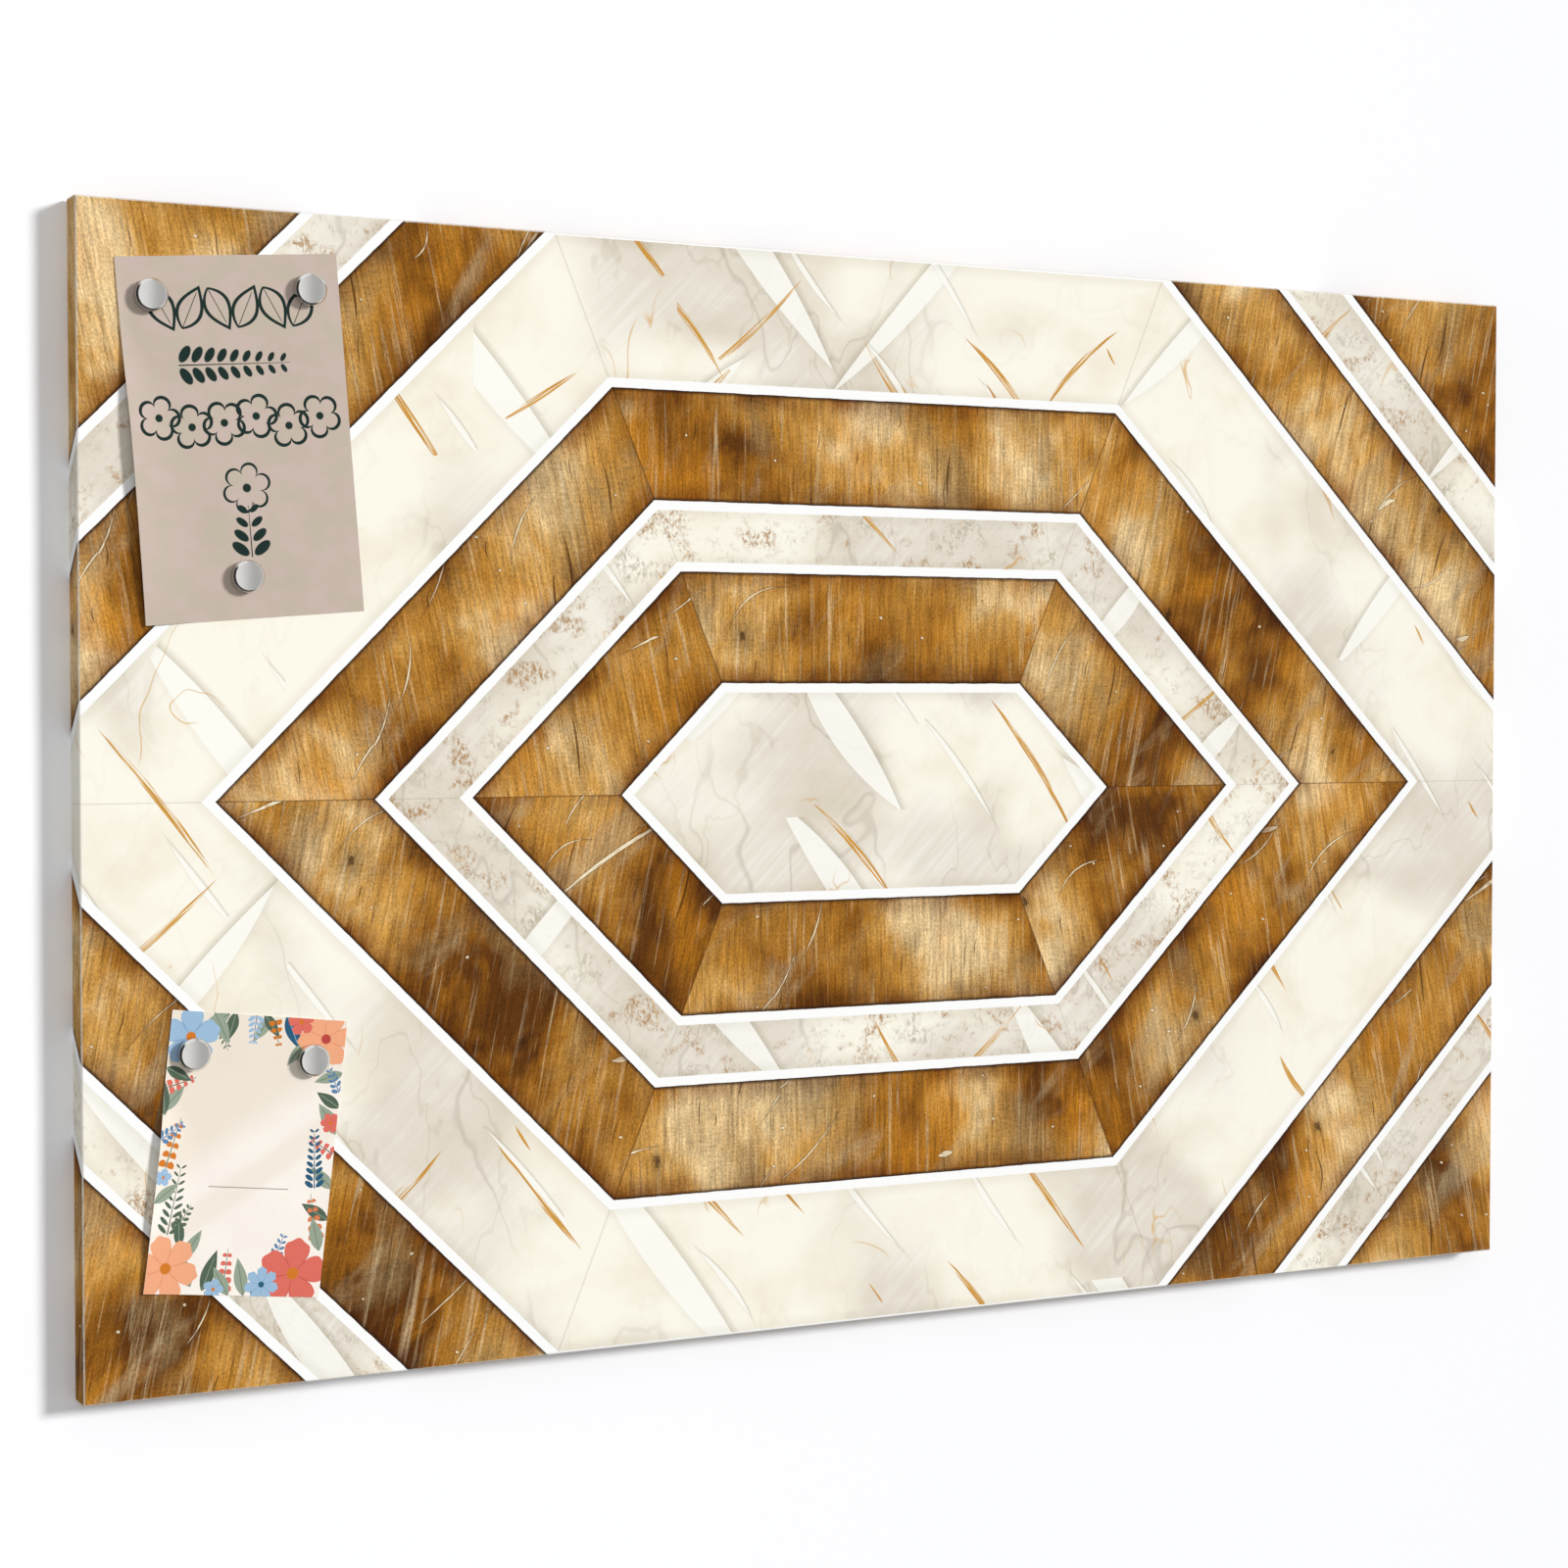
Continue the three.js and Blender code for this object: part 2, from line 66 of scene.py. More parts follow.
def ink(red, green, blue):
    """A printed or painted colour, written as the 0 to 255 values of a screen, in linear light"""
    def linear(value):
        share = value / 255
        return share / 12.92 if share <= 0.04045 else ((share + 0.055) / 1.055) ** 2.4
    return (linear(red), linear(green), linear(blue), 1.0)


def colour_property(name, description, default):
    return FloatVectorProperty(
        name=name, description=description, default=default, subtype="COLOR", size=4, min=0, max=1
    )


def number_property(name, description, default, unit="NONE", precision=2):
    return FloatProperty(
        name=name, description=description, default=default, min=0, unit=unit, precision=precision
    )


def length_property(name, description, default):
    return number_property(name, description, default, "LENGTH", 5)


# Settings


class PrintSettings(bpy.types.PropertyGroup):
    """The printed film and the inlay pattern on it"""

    thickness: length_property("Thickness", "Thickness of the film", 0.00025)
    bend_radius: length_property("Bend radius", "Radius of the film's outer face at a fold", 0.0014)
    turn_in: length_property("Turn-in", "Width of the film turned in at the rear", 0.009)
    fillet: length_property("Fillet", "Width of the white lines between the inlays", 0.0051)
    elongation: length_property("Elongation", "How much longer than regular the hexagons are", 0.05)
    wood_dark: colour_property("Wood, dark", "Stained wood at its darkest", ink(92, 52, 14))
    wood_mid: colour_property("Wood, middle", "Stained wood", ink(180, 126, 50))
    wood_light: colour_property("Wood, light", "Stained wood where it is worn", ink(238, 206, 152))
    stone_light: colour_property("Stone, light", "Ground of the pale stone", ink(254, 250, 236))
    stone_grey: colour_property("Stone, grey", "Clouds in the pale stone", ink(222, 212, 194))
    gold: colour_property("Gold", "Thin veins and strokes", ink(216, 160, 50))


class CardSettings(bpy.types.PropertyGroup):
    """The two paper cards"""

    thickness: length_property("Thickness", "Thickness of the card stock", 0.00035)
    note_ground: colour_property("Note card", "Colour of the upper card", ink(202, 186, 172))
    note_ink: colour_property("Note ink", "Colour of the drawing on the upper card", ink(28, 46, 42))
    greeting_ground: colour_property("Greeting card", "Colour of the lower card", ink(255, 246, 236))


class MagnetSettings(bpy.types.PropertyGroup):
    """The five round magnets"""

    segments: IntProperty(name="Segments", description="Facets round a magnet", default=96, min=16, max=256)
    edge: length_property("Edge", "Radius of the small rounded edges", 0.00012)
    crown: length_property("Crown", "How far the face rises to its middle", 0.0003)
    steel: colour_property("Steel", "Colour of the turned cap", (0.72, 0.71, 0.69, 1.0))


class HardwareSettings(bpy.types.PropertyGroup):
    """Screws and hangers on the rear"""

    thread_pitch: length_property("Thread pitch", "Distance from one turn of a thread to the next", 0.0013)
    thread_depth: length_property("Thread depth", "Height of a thread", 0.00035)
    facets: IntProperty(name="Facets", description="Facets round a screw", default=24, min=8, max=64)


class CoreSettings(bpy.types.PropertyGroup):
    """The honeycomb card inside"""

    cell: length_property("Cell", "Width of a cell across its flats", 0.018)
    wall: length_property("Wall", "Thickness of a cell's wall", 0.0004)


class StageSettings(bpy.types.PropertyGroup):
    """The wall, the lamps and the camera"""

    key_strength: number_property("Key", "Strength of the even light from the right", 2.6)
    fill_power: number_property("Fill", "Power of the lamp in front", 9, "POWER")
    side_power: number_property("Side", "Power of the lamp on the left", 9.5, "POWER")
    rear_power: number_property("Rear", "Power of the lamp behind", 22, "POWER")
    sky: number_property("Sky", "Strength of the even light from all sides", 0.3)


SETTINGS = {
    "board_print": PrintSettings,
    "board_cards": CardSettings,
    "board_magnets": MagnetSettings,
    "board_hardware": HardwareSettings,
    "board_core": CoreSettings,
    "board_stage": StageSettings,
}


# Building nodes


class Wire:
    """What a node puts out. A sign between it and another wire or a plain value adds a node of its own"""

    def __init__(self, graph, socket):
        self.graph = graph
        self.socket = socket
        self.calculate = graph.vector if socket.type in ("VECTOR", "RGBA") else graph.math

    def __abs__(self):
        return self.graph.math("ABSOLUTE", self)

    def __add__(self, other):
        return self.calculate("ADD", self, other)

    def __radd__(self, other):
        return self.calculate("ADD", other, self)

    def __sub__(self, other):
        return self.calculate("SUBTRACT", self, other)

    def __rsub__(self, other):
        return self.calculate("SUBTRACT", other, self)

    def __mul__(self, other):
        return self.calculate("MULTIPLY", self, other)

    def __truediv__(self, other):
        return self.calculate("DIVIDE", self, other)

    def __mod__(self, other):
        return self.calculate("MODULO", self, other)


class Graph:
    """Adds nodes to one tree and links them as it goes"""

    def __init__(self, tree):
        self.tree = tree

    def join(self, value, socket):
        """Links a wire to the socket, or gives the socket a plain value"""
        if isinstance(value, Wire):
            self.tree.links.new(value.socket, socket)
        else:
            socket.default_value = value

    def node(self, kind, inputs=None, **settings):
        node = self.tree.nodes.new(kind)
        for name, value in settings.items():
            setattr(node, name, value)
        for name, value in (inputs or {}).items():
            self.join(value, node.inputs[name])
        return node

    def wires(self, outputs):
        return {output.name: Wire(self, output) for output in outputs}

    def made(self, kind, inputs=None, output=0, **settings):
        """One of the things that a new node puts out"""
        return Wire(self, self.node(kind, inputs, **settings).outputs[output])

    def all_made(self, kind, inputs=None, **settings):
        """Everything that a new node puts out, by name"""
        return self.wires(self.node(kind, inputs, **settings).outputs)

    def math(self, operation, *values):
        return self.made("ShaderNodeMath", dict(enumerate(values)), operation=operation)

    def held(self, value, low=0.0, high=1.0):
        """The value, but not below low or above high. A node's own clamp would use up the shader's stack"""
        return self.math("MAXIMUM", self.math("MINIMUM", value, high), low)

    def vector(self, operation, *values):
        output = "Value" if operation in ("LENGTH", "DOT_PRODUCT") else "Vector"
        return self.made("ShaderNodeVectorMath", dict(enumerate(values)), output, operation=operation)

    def axes(self, vector):
        """The x, y and z of a vector"""
        node = self.node("ShaderNodeSeparateXYZ", {0: vector})
        return [Wire(self, output) for output in node.outputs]

    def pack(self, x=0.0, y=0.0, z=0.0):
        return self.made("ShaderNodeCombineXYZ", {"X": x, "Y": y, "Z": z})

    def stretch(self, vector, x=1.0, y=1.0, z=1.0):
        """The vector with each axis divided by a size in millimetres"""
        return self.vector("MULTIPLY", vector, (1 / x, 1 / y, 1 / z))

    def noise(self, vector, size=None, detail=2.0, roughness=0.5, distortion=0.0, output="Fac"):
        """Noise whose clouds have a size in millimetres along each axis"""
        if size:
            vector = self.stretch(vector, *size)
        inputs = {"Vector": vector, "Scale": 1.0, "Detail": detail, "Roughness": roughness}
        inputs["Distortion"] = distortion
        return self.made("ShaderNodeTexNoise", inputs, output, noise_dimensions="3D")

    def chance(self, dimensions, **inputs):
        """A random value and a random colour for every value of the inputs"""
        return self.all_made("ShaderNodeTexWhiteNoise", inputs, noise_dimensions=dimensions)

    def cells(self, vector):
        """Points scattered over a plane, one to a square: the nearest one's position and random colour"""
        inputs = {"Vector": vector, "Scale": 1.0}
        return self.all_made("ShaderNodeTexVoronoi", inputs, voronoi_dimensions="2D")

    def mapped(self, value, low, high, start, end, style):
        inputs = {"Value": value, "From Min": low, "From Max": high, "To Min": start, "To Max": end}
        return self.made("ShaderNodeMapRange", inputs, interpolation_type=style, clamp=False)

    def between(self, value, low, high, start=0.0, end=1.0):
        """The value's place between low and high, mapped to start and end and held there"""
        straight = self.mapped(value, low, high, start, end, "LINEAR")
        return self.held(straight, min(start, end), max(start, end))

    def eased(self, value, low, high, start=0.0, end=1.0):
        """As between, with a soft turn at both ends"""
        return self.mapped(value, low, high, start, end, "SMOOTHSTEP")

    def mix(self, share, first, second, blend="MIX"):
        inputs = {0: share, 6: first, 7: second}
        return self.made("ShaderNodeMix", inputs, 2, data_type="RGBA", blend_type=blend)

    def stained(self, colour, value, low, high, strength, stain):
        """The colour, stained more and more as the value goes from low to high"""
        return self.mix(self.between(value, low, high, 0, strength), colour, stain)

    def ramp(self, value, stops):
        node = self.node("ShaderNodeValToRGB", {0: value})
        elements = node.color_ramp.elements
        elements.remove(elements[-1])
        elements[0].position, elements[0].color = stops[0]
        for place, colour in stops[1:]:
            elements.new(place).color = colour
        return Wire(self, node.outputs[0])

    def group(self, name, build, **inputs):
        """Everything that a node group puts out; the group is built the first time it is asked for"""
        tree = bpy.data.node_groups.get(name) or build(name)
        return self.all_made("ShaderNodeGroup", inputs, node_tree=tree)


SOCKETS = {bool: "NodeSocketBool", int: "NodeSocketInt", float: "NodeSocketFloat"}


def new_group(name, inputs, outputs, kind="ShaderNodeTree"):
    """A node group: its tree, its graph, the wires it is given and a way to set what it puts out. An input's
    default tells its kind, or a word does where there is no default; Geometry Nodes numbers are lengths"""
    tree = bpy.data.node_groups.new(name, kind)
    for label, default in inputs.items():
        named = isinstance(default, str)
        socket = "NodeSocket" + default if named else SOCKETS[type(default)]
        made = tree.interface.new_socket(name=label, in_out="INPUT", socket_type=socket)
        if not named:
            made.default_value = default
        if kind == "GeometryNodeTree" and isinstance(default, float):
            made.subtype = "DISTANCE"
    for label, word in outputs.items():
        tree.interface.new_socket(name=label, in_out="OUTPUT", socket_type="NodeSocket" + word)
    graph = Graph(tree)
    given = graph.wires(tree.nodes.new("NodeGroupInput").outputs)
    result = tree.nodes.new("NodeGroupOutput").inputs

    def put_out(**values):
        for label, value in values.items():
            graph.join(value, result[label.capitalize()])

    return tree, graph, given, put_out


def cleared_graph(owner):
    """The graph of a material or world whose nodes are all taken out first"""
    owner.use_nodes = True
    owner.node_tree.nodes.clear()
    return Graph(owner.node_tree)


def new_material(name, shader_values):
    """A material with one Principled shader: its graph, and a way to feed that shader in the end"""
    material = bpy.data.materials.new(name)
    graph = cleared_graph(material)
    shader = graph.node("ShaderNodeBsdfPrincipled", shader_values)
    graph.node("ShaderNodeOutputMaterial", {"Surface": Wire(graph, shader.outputs[0])})

    def finish(colour, roughness, relief, depth, strength):
        graph.join(colour, shader.inputs["Base Color"])
        graph.join(roughness, shader.inputs["Roughness"])
        bump = graph.made("ShaderNodeBump", {"Strength": strength, "Distance": depth, "Height": relief})
        graph.join(bump, shader.inputs["Normal"])
        return material

    return graph, finish


def object_millimetres(graph):
    return graph.made("ShaderNodeTexCoord", output="Object") * ((PER_METRE,) * 3)


def map_millimetres(graph, name):
    return graph.made("ShaderNodeUVMap", uv_map=name) * ((PER_METRE,) * 3)


# Effects that several materials share


def turned_about(graph, offset, angle):
    """The two distances of an offset along and across an angle"""
    cosine = graph.math("COSINE", angle)
    sine = graph.math("SINE", angle)
    along = graph.vector("DOT_PRODUCT", offset, graph.pack(cosine, sine))
    across = graph.vector("DOT_PRODUCT", offset, graph.pack(sine * -1.0, cosine))
    return along, across


def strokes_group(name):
    """Single strokes scattered one to a cell, each with its own turn, length and slight bow"""
    tree, graph, given, put_out = new_group(
        name,
        {
            "Vector": "Vector", "Cell": 70.0, "Length": 50.0, "Width": 0.8, "Share": 0.5,
            "Angle": 0.0, "Spread": 3.0, "Bow": 0.16, "Rim": 0.6, "Seed": 0.0,
        },
        {"Mask": "Float", "Rim": "Float", "Local": "Vector"},
    )
    shifted = given["Vector"] + graph.pack(given["Seed"], given["Seed"])
    cells = shifted / graph.pack(given["Cell"], given["Cell"], 1.0)
    nearest = graph.cells(cells)["Position"]
    offset = cells - nearest
    local = offset * graph.pack(given["Cell"], given["Cell"], 0.0)
    chance = graph.chance("2D", Vector=nearest)
    turn, bow, size = graph.axes(chance["Color"])
    swing = (turn - 0.5) * given["Spread"]
    along, across = turned_about(graph, local, given["Angle"] + swing)
    half = given["Length"] * graph.between(size, 0, 1, 0.2, 0.5)
    reach = along / half
    square = reach * reach
    bend = (bow - 0.5) * (given["Length"] * given["Bow"])
    bent = across + bend * square
    body = 1.0 - square
    edge = abs(bent) - given["Width"] * body
    present = graph.math("LESS_THAN", chance["Value"], given["Share"])
    inside = graph.eased(edge, -0.12, 0.12, 1, 0)
    rim = graph.math("MAXIMUM", graph.between(edge, 0, given["Rim"], 1, 0) - inside, 0.0)
    put_out(
        mask=inside * present,
        rim=rim * present,
        local=graph.pack(along, bent, size * 90.0),
    )
    return tree


def timber_group(name):
    """Wood with its grain along Y: broad tone, fine fibres, short pores and a few knots"""
    tree, graph, given, put_out = new_group(
        name,
        {"Vector": "Vector", "Patch": 85.0, "Seed": 0.0},
        {"Tone": "Float", "Fibre": "Float", "Pore": "Float", "Knot": "Float"},
    )
    place = given["Vector"] + graph.pack(given["Seed"], given["Seed"], given["Seed"])
    flat = graph.stretch(place, 95, 125) * (1.0, 1.0, 0.0)
    knots = graph.cells(flat)
    offset = flat - knots["Position"]
    offset = offset * (95.0, 95.0, 0.0)
    ragged = graph.noise(place, (2.4, 3.6), detail=3, roughness=0.7)
    distance = graph.vector("LENGTH", offset) + graph.between(ragged, 0.3, 0.7, -1.3, 1.3)
    red, green, _ = graph.axes(knots["Color"])
    present = graph.math("LESS_THAN", red, 0.5)
    size = graph.between(green, 0, 1, 1.2, 4.0)
    knot = graph.eased(distance / size, 0.35, 1.5, 1, 0)
    halo = graph.eased(distance, 1.0, 9.0, 0.4, 0)
    # The grain bends round a knot
    pull = graph.eased(distance, 0, 22, 0.55, 0) * present
    drawn = place - graph.pack(graph.axes(offset)[0] * pull)
    patch = given["Patch"]
    patches = drawn / graph.pack(patch, patch * 1.5, patch)
    broad = graph.noise(patches, detail=4, roughness=0.5, distortion=0.25)
    streak = graph.noise(drawn, (3.0, 56, 20), detail=3, roughness=0.6)
    fibre = graph.noise(drawn, (1.0, 24, 12), detail=3, roughness=0.6)
    hair = graph.noise(drawn, (0.5, 10, 6), detail=2, roughness=0.6)
    pore = graph.noise(drawn, (0.5, 3.4, 6), detail=1)
    tone = broad * 0.78 + streak * 0.22
    put_out(
        tone=graph.between(tone, 0.3, 0.7),
        fibre=(fibre + hair) * 0.5,
        pore=graph.eased(pore, 0.68, 0.78),
        knot=graph.math("MAXIMUM", knot, halo) * present,
    )
    return tree


def paper_group(name):
    """Card stock: faint clouds, short fibres and a fine tooth for the bump"""
    tree, graph, given, put_out = new_group(name, {"Vector": "Vector"}, {"Tone": "Float", "Tooth": "Float"})
    clouds = graph.noise(given["Vector"], (34, 34, 34), detail=3, roughness=0.6)
    fibres = graph.noise(given["Vector"], (0.5, 1.6, 1), detail=3, roughness=0.7, distortion=1.2)
    tooth = graph.noise(given["Vector"], (0.28, 0.28, 0.28), detail=2)
    put_out(
        tone=clouds * 0.6 + fibres * 0.4,
        tooth=tooth * 0.5 + fibres * 0.5,
    )
    return tree


def placed(graph, given):
    """A drawing's point along and across its own axis"""
    local = given["Vector"] - graph.pack(given["X"], given["Y"])
    return turned_about(graph, local, given["Angle"])


PLACE = {"Vector": "Vector", "X": 0.0, "Y": 0.0, "Angle": 0.0}
# Half width of the soft edge of all that is drawn on the cards, in millimetres
DRAWN_EDGE = 0.1


def leaf_group(name):
    """One leaf that starts at its stalk: the blade, its outline and its middle rib"""
    tree, graph, given, put_out = new_group(
        name,
        {**PLACE, "Length": 20.0, "Width": 7.0, "Line": 0.7},
        {"Blade": "Float", "Outline": "Float", "Rib": "Float"},
    )
    along, across = placed(graph, given)
    share = graph.held(along / given["Length"])
    swell = graph.math("SINE", graph.math("POWER", share, 0.8) * math.pi)
    half = given["Width"] * 0.5 * swell
    edge = abs(across) - half
    within = graph.math("LESS_THAN", abs(along - given["Length"] * 0.5), given["Length"] * 0.5)
    blade = graph.between(edge, -DRAWN_EDGE, DRAWN_EDGE, 1, 0) * within
    inner = graph.between(edge + given["Line"], -DRAWN_EDGE, DRAWN_EDGE, 1, 0) * within
    rib = graph.between(abs(across), 0.12, 0.3, 1, 0)
    put_out(
        blade=blade,
        outline=blade - inner,
        rib=rib * blade * graph.between(share, 0.78, 0.86, 1, 0),
    )
    return tree


def flower_group(name):
    """One open flower: petals, the lines between and along them, and its middle"""
    tree, graph, given, put_out = new_group(
        name,
        {**PLACE, "Radius": 12.0, "Petals": 5.0, "Notch": 0.45, "Ripple": 0.025, "Line": 0.7},
        {"Petals": "Float", "Outline": "Float", "Shade": "Float", "Middle": "Float"},
    )
    along, across = placed(graph, given)
    radius = graph.vector("LENGTH", graph.pack(along, across))
    turn = graph.math("ARCTAN2", across, along)
    petal = turn * given["Petals"]
    lobe = abs(graph.math("COSINE", petal * 0.5))
    full = graph.math("POWER", lobe, 0.5)
    ripple = graph.math("COSINE", petal * 3.0) * given["Ripple"]
    rise = full * given["Notch"] + (1.0 - given["Notch"])
    outline = given["Radius"] * (rise + ripple)
    edge = radius - outline
    petals = graph.between(edge, -DRAWN_EDGE, DRAWN_EDGE, 1, 0)
    inner = graph.between(edge + given["Line"], -DRAWN_EDGE, DRAWN_EDGE, 1, 0)
    share = radius / given["Radius"]
    seam = graph.eased(lobe, 0.0, 0.3, 1, 0)
    veins = abs(graph.math("COSINE", petal * 4.0))
    fine = graph.between(veins, 0.0, 0.22, 1, 0) * graph.between(share, 0.25, 0.85, 0.5, 0)
    put_out(
        petals=petals,
        outline=petals - inner,
        shade=graph.math("MAXIMUM", seam * graph.between(share, 0.3, 1.0, 1, 0.3), fine),
        middle=graph.between(share, 0.15, 0.19, 1, 0),
    )
    return tree


def sprig_group(name):
    """A straight stem with a pair of small leaves or berries at every step"""
    tree, graph, given, put_out = new_group(
        name,
        {**PLACE, "Length": 30.0, "Step": 4.0, "Leaflet": 5.0, "Plump": 0.3, "Lean": 0.9},
        {"Stem": "Float", "Leaflets": "Float"},
    )
    along, across = placed(graph, given)
    share = along / given["Length"]
    within = graph.math("GREATER_THAN", share, 0.0) * graph.math("LESS_THAN", share, 1.0)
    wide = graph.between(share, 0, 1, 0.34, 0.12)
    stem = graph.between(abs(across) - wide, -0.08, 0.08, 1, 0)
    leaflets = None
    cosine = graph.math("COSINE", given["Lean"])
    sine = graph.math("SINE", given["Lean"])
    for lag in (0.0, 1.0):
        step = graph.math("FLOOR", along / given["Step"] - lag)
        start = step * given["Step"]
        ahead = along - start
        beside = abs(across)
        size = given["Leaflet"] * graph.between(start / given["Length"], 0, 1, 1, 0.45)
        out = ahead * cosine + beside * sine
        off = beside * cosine - ahead * sine
        middle = out / size - 0.6
        length = middle * 2.3
        girth = off / (size * (given["Plump"] * 0.5))
        round_it = length * length + girth * girth
        kept = graph.between(start, -0.2, -0.1) * graph.math("LESS_THAN", start, given["Length"])
        leaflet = graph.between(round_it, 0.85, 1.1, 1, 0) * kept
        leaflets = leaflet if leaflets is None else graph.math("MAXIMUM", leaflets, leaflet)
    put_out(stem=stem * within, leaflets=leaflets)
    return tree


def brushed_group(name):
    """Plated or ground metal: soft clouds, and lines drawn along Y of its vector"""
    tree, graph, given, put_out = new_group(
        name, {"Vector": "Vector", "Line": 0.12, "Reach": 14.0}, {"Cloud": "Float", "Lines": "Float"}
    )
    lines = given["Vector"] / graph.pack(given["Line"], given["Reach"], given["Line"])
    put_out(
        cloud=graph.noise(given["Vector"], (5, 5, 5), detail=4, roughness=0.65),
        lines=graph.noise(lines, detail=3, roughness=0.7),
    )
    return tree


def strokes(graph, place, shape, **values):
    """Scattered strokes; their shape is the cell, the length, the half width and the share of cells"""
    values |= dict(zip(("Cell", "Length", "Width", "Share"), shape))
    return graph.group("Scattered strokes", strokes_group, Vector=place, **values)


def timber(graph, place, patch, seed):
    return graph.group("Timber", timber_group, Vector=place, Patch=patch, Seed=seed)


def paper(graph, place):
    return graph.group("Card stock", paper_group, Vector=place)


def worked_metal(graph, place, line, reach):
    return graph.group("Worked metal", brushed_group, Vector=place, Line=line, Reach=reach)


# Pieces


def new_piece(name, mesh, body, slot, *nodes):
    """A finished piece: rides on its body and stands for its CAD nodes"""
    piece = bpy.data.objects.new(name, mesh)
    bpy.context.scene.collection.objects.link(piece)
    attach(piece, body)
    if nodes:
        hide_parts(*nodes)
    return piece


def finish_node(node, material):
    """Gives a CAD node a better material"""
    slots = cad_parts[node].data.materials
    if len(slots) == 0:
        slots.append(material)
    for index in range(len(slots)):
        slots[index] = material


def smooth_but_sharp(mesh, degrees):
    mesh.shade_smooth()
    mesh.set_sharp_from_angle(angle=math.radians(degrees))


def finished_mesh(name, shape, sharp):
    """The mesh of a bmesh, its faces turned outwards, smooth but for its sharp edges"""
    bmesh.ops.recalc_face_normals(shape, faces=shape.faces)
    mesh = bpy.data.meshes.new(name)
    shape.to_mesh(mesh)
    shape.free()
    smooth_but_sharp(mesh, sharp)
    return mesh


def rounded(profile, radius, steps=3):
    """The profile with every inner corner rounded, as points (radius, depth)"""
    points = [Vector(profile[0])]
    for before, corner, after in zip(profile, profile[1:], profile[2:]):
        corner = Vector(corner)
        back = Vector(before) - corner
        ahead = Vector(after) - corner
        reach = min(radius, back.length / 2.5, ahead.length / 2.5)
        start = corner + back.normalized() * reach
        end = corner + ahead.normalized() * reach
        for step in range(steps + 1):
            share = step / steps
            points.append(start.lerp(corner, share).lerp(corner.lerp(end, share), share))
    points.append(Vector(profile[-1]))
    return points


def turned_mesh(name, profile, segments, centre):
    """A closed body turned about an axis along Y: the profile starts and ends on the axis"""
    shape = bmesh.new()
    rings = []
    for radius, depth in profile[1:-1]:
        ring = []
        for step in range(segments):
            turn = 2 * math.pi * step / segments
            place = (centre[0] + radius * math.cos(turn), depth, centre[1] + radius * math.sin(turn))
            ring.append(shape.verts.new(place))
        rings.append(ring)
    poles = [shape.verts.new((centre[0], point[1], centre[1])) for point in (profile[0], profile[-1])]
    for step in range(segments):
        following = (step + 1) % segments
        shape.faces.new((poles[0], rings[0][step], rings[0][following]))
        shape.faces.new((poles[1], rings[-1][following], rings[-1][step]))
        for near, far in zip(rings, rings[1:]):
            shape.faces.new((near[step], far[step], far[following], near[following]))
    return finished_mesh(name, shape, 42)


# Printed film

# Borders between the inlays: how far each hexagon's flat side is from the middle, in millimetres. Stone lies
# inside the first, then wood and stone take turns
INLAY_BORDERS = (58, 124, 157, 222, 301, 362, 396)
# Every stroke starts with its shape: cell, length, half width and share of cells
# Marks on the wood: shape, angle, spread, bow, strength and seed
WOOD_MARKS = (
    ((60.0, 52.0, 0.42, 0.5), 1.25, 1.5, 0.2, 0.85, 11.0),
    ((122.0, 96.0, 1.1, 0.4), 1.0, 1.2, 0.12, 0.95, 207.0),
    ((98.0, 20.0, 1.6, 0.3), 0.9, 1.6, 0.2, 0.9, 655.0),
    ((29.0, 2.8, 0.75, 0.28), 0.8, 3.0, 0.1, 0.8, 405.0),
)
# Cracks along the grain of the wood: shape and seed
WOOD_CRACKS = (((40.0, 18.0, 0.4, 0.5), 905.0), ((84.0, 46.0, 0.7, 0.5), 57.0))
# Bright shards in the stone: shape, angle, spread, rim and seed
STONE_SHARDS = (
    ((160.0, 210.0, 9.0, 0.52), -0.86, 0.16, 4.5, 77.0),
    ((150.0, 190.0, 6.5, 0.5), 0.86, 0.16, 4.0, 611.0),
    ((76.0, 90.0, 1.6, 0.45), -0.86, 0.2, 1.6, 340.0),
)
# Gold marks in the stone: shape, angle and seed
STONE_GOLD = (
    ((100.0, 104.0, 1.9, 0.46), -0.8, 19.0),
    ((116.0, 112.0, 1.6, 0.44), 0.8, 455.0),
    ((60.0, 20.0, 0.8, 0.22), -0.8, 733.0),
)
# Veins in the stone: width of the clouds they follow, depth, seed, colour
STONE_VEINS = ((120.0, 0.4, 0.0, ink(180, 170, 152)), (70.0, 0.3, 57.0, ink(190, 176, 150)))
# Steps round a fold, and how far beside it a ring of edges keeps the flats flat
BEND_STEPS = 8
HOLD = 0.3 * MM


